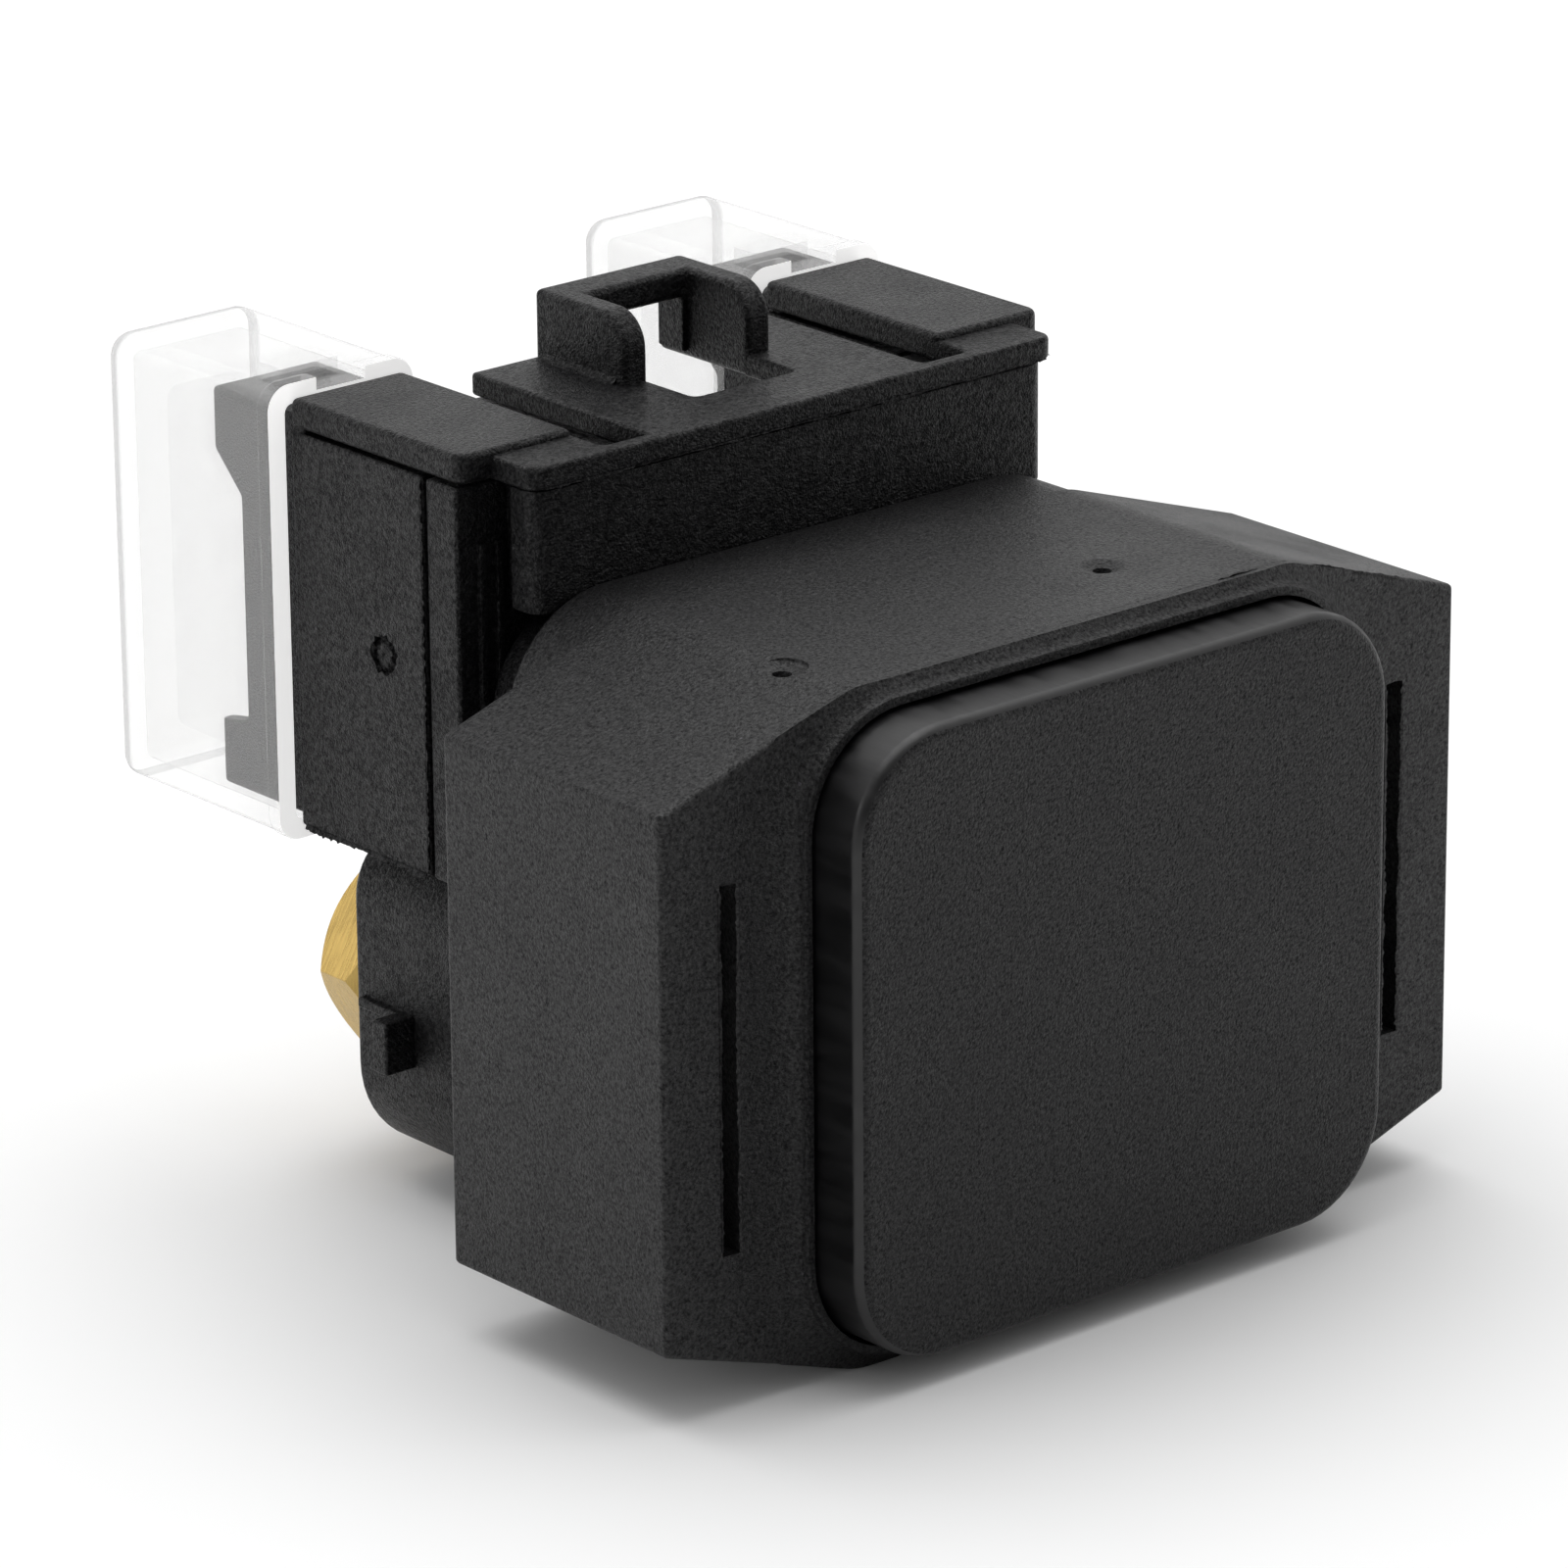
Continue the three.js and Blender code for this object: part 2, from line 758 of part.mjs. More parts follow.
function coilLead(x) {
  const z = PIN.rows[0];
  const path = new THREE.CatmullRomCurve3([
    new THREE.Vector3(x * 0.8, 14.6, z),
    new THREE.Vector3(x * 0.9, 16.6, z + 0.15),
    new THREE.Vector3(x, 18.6, z + 0.1),
    new THREE.Vector3(x, PIN.front - GAP, z),
  ]);
  return wire(path, 0.3, 10, 6);
}

// ---------------------------------------------------------------- solenoid

function yokeFrame() {
  const front = CASE.front + CASE.wall + GAP;
  const inner = COIL.flangeRadius + 0.8;
  const outer = inner + 1.8;
  const back = COIL.back + 0.1;
  const outline = polygon([
    [-outer, back],
    [-outer, front],
    [outer, front],
    [outer, back],
    [inner, back],
    [inner, front + 1.8],
    [-inner, front + 1.8],
    [-inner, back],
  ]);
  return prismZ(outline, COIL.z - 9, COIL.z + 9);
}

function yokeEndPlate() {
  const half = COIL.flangeRadius + 2.6;
  const front = COIL.back + 0.35;
  const plate = prismY(roundedRect(half, 9.3, 1, 0, COIL.z), front, front + 1.8);
  return cut(plate, disc(3.6, front - 1, front + 3, 0, COIL.z));
}

function coilBobbin() {
  const c = COIL;
  return turned(
    [
      [c.boreRadius, c.front],
      [c.flangeRadius, c.front],
      [c.flangeRadius, c.front + c.flange],
      [c.tubeRadius, c.front + c.flange],
      [c.tubeRadius, c.back - c.flange],
      [c.flangeRadius, c.back - c.flange],
      [c.flangeRadius, c.back],
      [c.boreRadius, c.back],
      [c.boreRadius, c.front],
    ],
    0,
    c.z,
  );
}

function coilWinding() {
  const c = COIL;
  const front = c.front + c.flange + 0.15;
  const back = c.back - c.flange - 0.15;
  return ring(c.tubeRadius + 0.15, c.windingRadius, front, back, 0, c.z);
}

function fixedCore() {
  const step = COIL.back + 0.1;
  return turned(
    [
      [1.8, 11.2],
      [PLUNGER.radius, 11.2],
      [PLUNGER.radius, step],
      [3.3, step],
      [3.3, step + 2.2],
      [1.8, step + 2.2],
      [1.8, 11.2],
    ],
    0,
    COIL.z,
  );
}

function plunger() {
  const p = PLUNGER;
  return turned(
    [
      [0, p.front],
      [p.radius - 0.3, p.front],
      [p.radius, p.front + 0.3],
      [p.radius, p.back],
      [1.6, p.back],
      [1.6, p.rodFront - 0.2],
      [0, p.rodFront - 0.2],
    ],
    0,
    COIL.z,
  );
}

const ROD = { collar: [22.1, 22.7], collarRadius: 2.8, seat: [27.9, 28.5], seatRadius: 2.4 };

function plungerRod() {
  const p = PLUNGER;
  const r = p.rodRadius;
  return turned(
    [
      [0, p.rodFront],
      [r, p.rodFront],
      [r, ROD.collar[0]],
      [ROD.collarRadius, ROD.collar[0]],
      [ROD.collarRadius, ROD.collar[1]],
      [r, ROD.collar[1]],
      [r, ROD.seat[0]],
      [ROD.seatRadius, ROD.seat[0]],
      [ROD.seatRadius, ROD.seat[1]],
      [r, ROD.seat[1]],
      [r, p.rodBack],
      [0, p.rodBack],
    ],
    0,
    COIL.z,
    28,
  );
}

const CONTACT = { front: 25, back: 26.2, pad: 26.6, halfWidth: 14.8 };

function contactBridge() {
  const plate = roundedOutline(-CONTACT.halfWidth, CONTACT.halfWidth, -12.4, -0.4, 2);
  const pads = [-TERMINAL.x, TERMINAL.x].map((x) =>
    disc(2.6, CONTACT.back - 0.5, CONTACT.pad, x, TERMINAL.z, 24),
  );
  const body = union(prismY(plate, CONTACT.front, CONTACT.back), ...pads);
  return cut(body, disc(1.75, CONTACT.front - 1, CONTACT.pad + 1, 0, COIL.z, 24));
}

function retainingClip() {
  const clip = ring(PLUNGER.rodRadius + 0.1, 2.5, CONTACT.pad, CONTACT.pad + 0.6, 0, COIL.z, 24);
  return cut(clip, box([-0.9, 0.9], [CONTACT.pad - 1, CONTACT.pad + 2], [COIL.z - 4, COIL.z]));
}

function contactSpring() {
  const radius = 0.2;
  const seat = radius + 0.1;
  return wire(new Helix(2.1, ROD.collar[1] + seat, CONTACT.front - seat, 3, COIL.z), radius, 48, 6);
}

function returnSpring() {
  const radius = 0.2;
  const seat = radius + 0.1;
  return wire(new Helix(1.9, ROD.seat[1] + seat, CHAMBER.back - seat, 4.5, COIL.z), radius, 72, 6);
}

// ---------------------------------------------------------------- materials and assembly

function material(color, roughness, metalness, opacity = 1) {
  return new THREE.MeshStandardMaterial({ color, roughness, metalness, opacity, transparent: opacity < 1 });
}

const relay = new THREE.Group();
relay.position.set(0, -DEPTH_CENTRE, DAMPER.halfHeight);

function add(name, shape, finish) {
  const mesh = new THREE.Mesh(toGeometry(shape), finish);
  mesh.name = name;
  relay.add(mesh);
}

const rubber = () => material(0x1c1c1d, 0.75, 0);
const caseResin = () => material(0x262627, 0.6, 0);
const housingResin = () => material(0x232324, 0.7, 0);
const clearResin = () => material(0xf1f2f0, 0.35, 0, 0.35);
const fuseResin = () => material(0xe9ecea, 0.2, 0, 0.4);
const bobbinResin = () => material(0xd9d2bd, 0.5, 0);
const brass = () => material(0xc79c42, 0.35, 1);
const copper = () => material(0xb4693c, 0.35, 1);
const enamelledCopper = () => material(0x8c3d1b, 0.4, 0.6);
const tinned = () => material(0xb9bcbf, 0.35, 1);
const steel = () => material(0x8b8f94, 0.4, 1);

add('rubber_damper', rubberDamper(), rubber());
add('relay_case', relayCase(), caseResin());
add('case_seal', caseSeal(), rubber());
add('terminal_base', terminalBase(), housingResin());
add('connector_housing', connectorHousing(), housingResin());
add('top_cap', topCap(), housingResin());

for (const [side, label, role] of [[-1, 'left', 'main'], [1, 'right', 'spare']]) {
  add('fuse_holder_' + label, fuseHolder(side), housingResin());
  add('fuse_cover_' + label, fuseCover(side), clearResin());
  add(role + '_fuse_body', fuseBody(side), fuseResin());
  add(role + '_fuse_element', fuseElement(side), tinned());
}

for (const index of [0, 1]) {
  add('fuse_clip_' + (index + 1), fuseClip(index), tinned());
}
add('fuse_strap', fuseStrap(), brass());

for (const [side, label] of [[-1, 'battery'], [1, 'motor']]) {
  add('contact_terminal_' + label, contactTerminal(side), copper());
  add('terminal_seal_' + label, terminalSeal(side), rubber());
  add('lock_washer_' + label, lockWasher(side), steel());
  add('terminal_bolt_' + label, terminalBolt(side), brass());
}

PIN.rows.forEach((z, row) => {
  add('connector_pin_' + (2 * row + 1), connectorPin(-PIN.x, z), tinned());
  add('connector_pin_' + (2 * row + 2), connectorPin(PIN.x, z), tinned());
});
add('coil_lead_1', coilLead(-PIN.x), enamelledCopper());
add('coil_lead_2', coilLead(PIN.x), enamelledCopper());

add('yoke_frame', yokeFrame(), steel());
add('yoke_end_plate', yokeEndPlate(), steel());
add('coil_bobbin', coilBobbin(), bobbinResin());
add('coil_winding', coilWinding(), enamelledCopper());
add('fixed_core', fixedCore(), steel());
add('plunger', plunger(), steel());
add('plunger_rod', plungerRod(), bobbinResin());
add('contact_bridge', contactBridge(), copper());
add('retaining_clip', retainingClip(), steel());
add('contact_spring', contactSpring(), steel());
add('return_spring', returnSpring(), steel());

export default relay;
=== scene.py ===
"""Starter relay: a solenoid contactor in a rubber vibration damper, with a plug socket between two covered
blade-fuse holders, and two brass terminal bolts behind.

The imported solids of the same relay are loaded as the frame. Each piece is built in millimetres from a
datum, which is the middle of the damper's front face, and is then placed in metres in the frame. +X runs
to the spare fuse, +Y to the back where the socket and the terminals point, and +Z up to the latch bridge.
"""

import json
import math
import random

import bmesh
import bpy
from bpy.props import FloatProperty, FloatVectorProperty, PointerProperty
from mathutils import Matrix, Vector


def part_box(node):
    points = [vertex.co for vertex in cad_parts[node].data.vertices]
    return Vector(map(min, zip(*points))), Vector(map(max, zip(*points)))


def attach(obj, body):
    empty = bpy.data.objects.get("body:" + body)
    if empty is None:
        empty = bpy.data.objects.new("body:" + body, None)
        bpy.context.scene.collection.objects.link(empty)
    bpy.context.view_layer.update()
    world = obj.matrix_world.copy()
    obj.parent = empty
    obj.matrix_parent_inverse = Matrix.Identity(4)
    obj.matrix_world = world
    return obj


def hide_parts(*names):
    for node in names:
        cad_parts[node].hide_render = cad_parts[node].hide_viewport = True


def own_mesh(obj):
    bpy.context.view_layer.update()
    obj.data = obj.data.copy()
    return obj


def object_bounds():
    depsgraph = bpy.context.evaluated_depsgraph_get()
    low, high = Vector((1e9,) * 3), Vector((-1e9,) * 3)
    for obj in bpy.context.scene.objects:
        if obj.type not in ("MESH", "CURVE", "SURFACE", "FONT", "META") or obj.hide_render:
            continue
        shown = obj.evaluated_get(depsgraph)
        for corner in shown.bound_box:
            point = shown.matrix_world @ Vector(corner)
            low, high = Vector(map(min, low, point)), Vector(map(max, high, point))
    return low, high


bl_info = {
    "name": "Starter Relay",
    "version": (1, 0, 0),
    "blender": (4, 5, 0),
    "location": "3D View > Sidebar > Starter Relay",
    "description": "Builds a starter relay in its rubber damper round its packed solids",
    "category": "Add Mesh",
}

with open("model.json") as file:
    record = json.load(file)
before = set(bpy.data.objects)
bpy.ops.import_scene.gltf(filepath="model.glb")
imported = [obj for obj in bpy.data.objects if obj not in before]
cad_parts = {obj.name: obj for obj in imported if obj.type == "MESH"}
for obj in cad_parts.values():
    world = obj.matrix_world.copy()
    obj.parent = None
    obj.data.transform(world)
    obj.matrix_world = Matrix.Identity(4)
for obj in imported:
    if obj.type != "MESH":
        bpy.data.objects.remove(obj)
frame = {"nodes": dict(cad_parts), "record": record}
cad_low, cad_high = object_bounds()

# ---------------------------------------------------------------- datum and places, in millimetres

MM = 0.001
LIP = 1.2  # how far the damper's lip stands in front of its ears

damper_low, damper_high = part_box("rubber_damper")
DATUM = Vector((0, damper_low.y / MM + LIP, (damper_low.z + damper_high.z) / 2 / MM))


def span(node):
    """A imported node's two ends along X, Y and Z."""
    low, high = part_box(node)
    return [(low[i] / MM - DATUM[i], high[i] / MM - DATUM[i]) for i in range(3)]


def middle(ends):
    return (ends[0] + ends[1]) / 2


def grown(ends, by):
    return (ends[0] - by, ends[1] + by)


def mirrored(ends):
    return (-ends[1], -ends[0])


# The damper's ears slope down from a flat crown, and each has a slot for a bracket's tongue.
CROWN_HALF = 14.8
CROWN_BEND = 5
EAR_HALF_HEIGHT = 14.15
EAR_BACK = 16.8
COLLAR_HALF = 19.8
COLLAR_CORNER = 6.5
LIP_WALL = 0.75
THROAT = 2.6  # width of the hollow curve between the lip and the ear's face
SLOT_X = 22.75
SLOT_THICKNESS = 1.14
SLOT_HALF_HEIGHT = 9.75
DIMPLES = ((-15.3, 4.5), (7.2, 5.6))

CASE_CORNER = 5.6
CASE_WALL = 1.6
FIT = 0.25  # room between pieces that lie against each other
OVERLAP = 0.03  # keeps the faces of two solids that are joined apart

BASE_TOP = 1.7
BASE_TAIL_BACK = 36
FLANGE_BACK = 24
CHAMBER_BACK = 34

WALL_BOTTOM = 17.05
WALL_HALF = 17.4
WALL_BACK = 23.2
WING_FRONT = 24.4
WING_BACK = 26.9
RIBS_X = (17.2, 18.3)
RIBS_Z = (11.3, 20.4)
BOX_HALF = 9.3
SOCKET_HALF = 8
SOCKET_BOTTOM = 4
SOCKET_FLOOR = 26.6

BAR_BACK = 21.7
BAR_HALF = 17.8
PLATE_TOP = 25
LID_INNER = 12.4
LID_FRONT = 24
WINDOW_HALF = 3.4
WINDOW_FRONT = 25.05
BRIDGE_HALF = 5
BRIDGE_FRONT = 28.8
BRIDGE_BAR_FRONT = 33.7
BRIDGE_BAR_BOTTOM = 27.1
BRIDGE_NOSE = 2
PASSAGE_HALF = 3.1

HOLDER_OUTER = span("fuse_holder_right")[0][1]
SHOULDER = 38
NECK = (12.8, 19.7)
NECK_BOTTOM = 2.6
NOTCH_FRONT = 42.45
NOTCH = (6.6, 19.0)
NOTCH_CHAMFER = 1.7
WINDOW_OVER_CATCH = (40.9, 42.8)

TERMINAL_Z = -7.7
TERMINAL_HOLE = 4.45
BOLT_HEAD_HEIGHT = 4
COIL_Z = -3


# ---------------------------------------------------------------- settings

def length(name, description, default):
    """A size in metres, shown with its unit."""
    return FloatProperty(
        name=name, description=description, default=default, min=0, precision=5, unit="LENGTH"
    )


def colour(name, description, default):
    return FloatVectorProperty(
        name=name, description=description, default=default, min=0, max=1, size=3, subtype="COLOR"
    )


def strength(name, description, default):
    return FloatProperty(name=name, description=description, default=default, min=0)


def turn(name, description, degrees):
    """An angle, given in degrees and kept in radians."""
    return FloatProperty(
        name=name, description=description, default=math.radians(degrees), subtype="ANGLE"
    )


class RelaySizes(bpy.types.PropertyGroup):
    """Edge roundings and surface textures of the relay's pieces."""

    rubber_edge: length("Rubber edge", "Rounding of the damper's edges", 0.00028)
    case_edge: length("Case edge", "Rounding of the case's front edge", 0.0007)
    moulded_edge: length("Moulded edge", "Rounding of the nylon mouldings' edges", 0.00022)
    lid_edge: length("Lid edge", "Rounding of the lids over the fuse holders", 0.00035)
    bridge_edge: length("Bridge edge", "Rounding of the latch bridge", 0.00035)
    cover_edge: length("Cover edge", "Rounding of the fuse covers' closed ends", 0.0008)
    metal_edge: length("Metal edge", "Broken edge of the stamped and turned metal", 0.00012)
    flash: length("Flash", "Longest ragged fin left at the mould's parting lines", 0.00035)
    thread_pitch: length("Thread pitch", "Pitch of the terminal bolts' thread", 0.001)
    nylon_grain: length("Nylon grain", "Size of the grain on the glass-filled nylon", 0.000135)
    rubber_grain: length("Rubber grain", "Size of the grain on the rubber", 0.00014)


class RelayColours(bpy.types.PropertyGroup):
    """Colours of the relay's finishes."""

    rubber: colour("Rubber", "Moulded rubber of the damper and seals", (0.0034, 0.0032, 0.0037))
    case: colour("Case", "Textured resin of the solenoid case", (0.0036, 0.0034, 0.0039))
    nylon: colour("Nylon", "Glass-filled nylon of housing, cap, holders and base", (0.0026, 0.0025, 0.0029))
    cover: colour("Cover", "Natural translucent resin of the fuse covers", (0.965, 0.96, 0.955))
    fuse: colour("Fuse", "Clear resin of the fuses", (0.97, 0.975, 0.975))
    bobbin: colour("Bobbin", "Natural nylon of the bobbin and the plunger's sleeve", (0.62, 0.56, 0.42))
    brass: colour("Brass", "Terminal bolts and the fuse strap", (0.54, 0.37, 0.12))
    copper: colour("Copper", "Terminals and contact plate", (0.72, 0.34, 0.20))
    enamel: colour("Enamel", "Enamelled wire of the coil", (0.42, 0.13, 0.04))
    tin: colour("Tin", "Tinned tabs, clips and fuse blades", (0.66, 0.66, 0.67))
    zinc: colour("Zinc", "Zinc-plated steel", (0.50, 0.51, 0.53))


class RelayStudio(bpy.types.PropertyGroup):
    """Floor, lights and camera."""

    floor: colour("Floor", "Pale floor under the relay", (0.90, 0.90, 0.90))
    sky: strength("Surroundings", "Strength of the white surroundings", 0.9)
    overhead: strength("Overhead lamp", "Power of the lamp above", 6.0)
    side: strength("Side lamp", "Power of the lamp at the left", 1.6)
    azimuth: turn("Azimuth", "Camera's place round the relay", -40.63)
    elevation: turn("Elevation", "Camera's height over the floor", 19.47)
    roll: turn("Roll", "Camera's tilt", -0.49)
    distance: length("Distance", "From the camera to the point it looks at", 0.4279)
    aim: FloatVectorProperty(
        name="Aim",
        description="Point that the camera looks at",
        default=(-0.00856, -0.01178, 0.02651),
        size=3,
        subtype="TRANSLATION",
    )
    lens: FloatProperty(name="Lens", description="Focal length in millimetres", default=193.56, min=1)


def sizes():
    return bpy.context.scene.relay_sizes


def colours():
    return bpy.context.scene.relay_colours


def in_mm(name):
    """One of the settings' sizes, in millimetres."""
    return getattr(sizes(), name) / MM


# ---------------------------------------------------------------- outlines

def filleted(corners, steps=8):
    """An outline from corners of (a, b, radius): each corner with a radius becomes an arc."""
    outline = []
    for i, (a, b, radius) in enumerate(corners):
        here = Vector((a, b))
        before = (Vector(corners[i - 1][:2]) - here).normalized()
        after = (Vector(corners[(i + 1) % len(corners)][:2]) - here).normalized()
        if radius <= 0:
            outline.append(here)
            continue
        half = before.angle(after) / 2
        centre = here + (before + after).normalized() * radius / math.sin(half)
        arm = here + before * radius / math.tan(half) - centre
        left_turn = before.x * after.y - before.y * after.x < 0
        sweep = (math.pi - 2 * half) * (1 if left_turn else -1)
        outline += [centre + Matrix.Rotation(sweep * i / steps, 2) @ arm for i in range(steps + 1)]
    return outline


def rounded(a, b, radii, steps=8):
    """A rounded rectangle. radii are one number, or bottom right, top right, top left, bottom left."""
    br, tr, tl, bl = radii if isinstance(radii, (tuple, list)) else (radii,) * 4
    return filleted([(a[1], b[0], br), (a[1], b[1], tr), (a[0], b[1], tl), (a[0], b[0], bl)], steps)


def circle(radius, centre=(0, 0), sides=48):
    turn = 2 * math.pi / sides
    return [
        Vector((centre[0] + radius * math.cos(turn * i), centre[1] + radius * math.sin(turn * i)))
        for i in range(sides)
    ]


def ragged(outline, bite, pitch, seed):
    """The same outline with points every pitch, each pushed about by up to bite, as a torn edge."""
    rng = random.Random(seed)
    points = []
    for i, start in enumerate(outline):
        end = outline[(i + 1) % len(outline)]
        count = max(1, round((end - start).length / pitch))
        for k in range(count):
            push = Vector((rng.uniform(-1, 1), rng.uniform(-1, 1))) * bite
            points.append(start.lerp(end, k / count) + push)
    return points


# ---------------------------------------------------------------- solids

def scene_object(bm):
    """A working object from a bmesh, in millimetres from the datum."""
    bmesh.ops.recalc_face_normals(bm, faces=bm.faces)
    mesh = bpy.data.meshes.new("work")
    bm.to_mesh(mesh)
    bm.free()
    work = bpy.data.objects.new("work", mesh)
    bpy.context.scene.collection.objects.link(work)
    return work


def loft(rings, closed=False):
    """A skin over rings of points that match one to one. A closed loft joins its last ring to its first."""
    bm = bmesh.new()
    loops = [[bm.verts.new(point) for point in ring] for ring in rings]
    pairs = list(zip(loops, loops[1:]))
    if closed:
        pairs.append((loops[-1], loops[0]))
    for one, two in pairs:
        for i in range(len(one)):
            k = (i + 1) % len(one)
            bm.faces.new((one[i], one[k], two[k], two[i]))
    if not closed:
        bm.faces.new(loops[0])
        bm.faces.new(loops[-1])
    return scene_object(bm)


TO_SPACE = {
    "X": lambda a, b, level: (level, a, b),
    "Y": lambda a, b, level: (a, level, b),
    "Z": lambda a, b, level: (a, b, level),
}


def prism(outline, axis, ends):
    """An outline in the plane across axis, carried from one end to the other."""
    to_space = TO_SPACE[axis]
    return loft([[to_space(a, b, level) for a, b in outline] for level in ends])


def block(x, y, z):
    return prism(rounded(x, y, 0), "Z", z)


def turned(profile, x, z, sides=64):
    """A profile of (radius, y) turned about the Y axis through x and z. Points on the axis are shared."""
    bm = bmesh.new()
    loops = []
    for radius, y in profile:
        if radius == 0:
            loops.append([bm.verts.new((x, y, z))] * sides)
        else:
            loops.append([bm.verts.new((x + a, y, z + b)) for a, b in circle(radius, sides=sides)])
    pairs = list(zip(loops, loops[1:]))
    if profile[0][0] > 0:
        pairs.append((loops[-1], loops[0]))
    for one, two in pairs:
        for i in range(sides):
            k = (i + 1) % sides
            corners = list(dict.fromkeys((one[i], one[k], two[k], two[i])))
            bm.faces.new(corners)
    return scene_object(bm)


def swept(path, section):
    """A section of (a, b) points carried along a path, without twist."""
    points = [Vector(point) for point in path]
    last = len(points) - 1
    tangents = [(points[min(i + 1, last)] - points[max(i - 1, 0)]).normalized() for i in range(last + 1)]
    side = tangents[0].orthogonal().normalized()
    rings = []
    for point, tangent in zip(points, tangents):
        side = (side - tangent * side.dot(tangent)).normalized()
        up = tangent.cross(side)
        rings.append([point + side * a + up * b for a, b in section])
    return loft(rings)


def modified(work, kind, **settings):
    """work with one modifier applied to its mesh."""
    modifier = work.modifiers.new(kind, kind)
    for name, value in settings.items():
        setattr(modifier, name, value)
    shaped = work.evaluated_get(bpy.context.evaluated_depsgraph_get())
    mesh = bpy.data.meshes.new_from_object(shaped)
    plain = work.data
    work.modifiers.clear()
    work.data = mesh
    bpy.data.meshes.remove(plain)
    return work


def dropped(work):
    mesh = work.data
    bpy.data.objects.remove(work)
    bpy.data.meshes.remove(mesh)


def eased(work, radius, segments=3):
    """work with its sharp edges rounded."""
    return modified(
        work,
        "BEVEL",
        width=radius,
        segments=segments,
        limit_method="ANGLE",
        angle_limit=math.radians(31),
        use_clamp_overlap=False,
    )


def combined(work, others, operation):
    for other in others:
        modified(work, "BOOLEAN", object=other, operation=operation, solver="EXACT")
        dropped(other)
    if not work.data.polygons:
        raise RuntimeError(f"{operation} left no solid")
    return work


def added(work, *others):
    return combined(work, others, "UNION")


def cut(work, *others):
    return combined(work, others, "DIFFERENCE")


def common(work, *others):
    return combined(work, others, "INTERSECT")


def joined(work, *others):
    """work with the others' meshes in it as separate shells."""
    bm = bmesh.new()
    bm.from_mesh(work.data)
    for other in others:
        bm.from_mesh(other.data)
        dropped(other)
    bm.to_mesh(work.data)
    bm.free()
    return work


def on_both_sides(make):
    """What make builds for side -1 and for side 1."""
    return [make(side) for side in (-1, 1)]


def side_span(side, ends):
    """A stretch of X given for the +X side, on either side."""
    return ends if side > 0 else mirrored(ends)


def flash_fin(path, outward, reach, seed, thickness=0.07, pitch=0.16):
    """A thin ragged fin left by the mould along a path. It swells and shrinks over swell_steps points."""
    swell_steps = 6
    rng = random.Random(seed)
    outward = Vector(outward).normalized()
    points = []
    for start, end in zip(path, path[1:]):
        start, end = Vector(start), Vector(end)
        count = max(1, round((end - start).length / pitch))
        points += [start.lerp(end, k / count) for k in range(count)]
    points.append(Vector(path[-1]))
    along = (points[-1] - points[0]).normalized()
    across = along.cross(outward).normalized() * thickness / 2
    swell = [rng.random() for _ in range(len(points) // swell_steps + 2)]
    rings = []
    for i, point in enumerate(points):
        here, there = swell[i // swell_steps], swell[i // swell_steps + 1]
        slow = here + (there - here) * (i % swell_steps) / swell_steps
        tall = reach * (0.08 + 0.6 * slow ** 1.6 + 0.32 * rng.random() ** 2.5)
        lean = across * rng.uniform(-1.5, 1.5) + along * rng.uniform(-0.3, 0.3) * pitch
        tip = point + outward * tall + lean
        root = point - outward * 0.08
        rings.append([root - across, tip - across * 0.3, tip + across * 0.3, root + across])
    return loft(rings)


# ---------------------------------------------------------------- surface finishes

FINISHES = {}


def finish(name):
    """Registers a function that makes one finish, once, when a piece first asks for it."""
    def register_finish(make):
        FINISHES[name] = make
        return make
    return register_finish


def finished(name):
    full_name = name + "_finish"
    material = bpy.data.materials.get(full_name)
    return material or FINISHES[name](full_name)


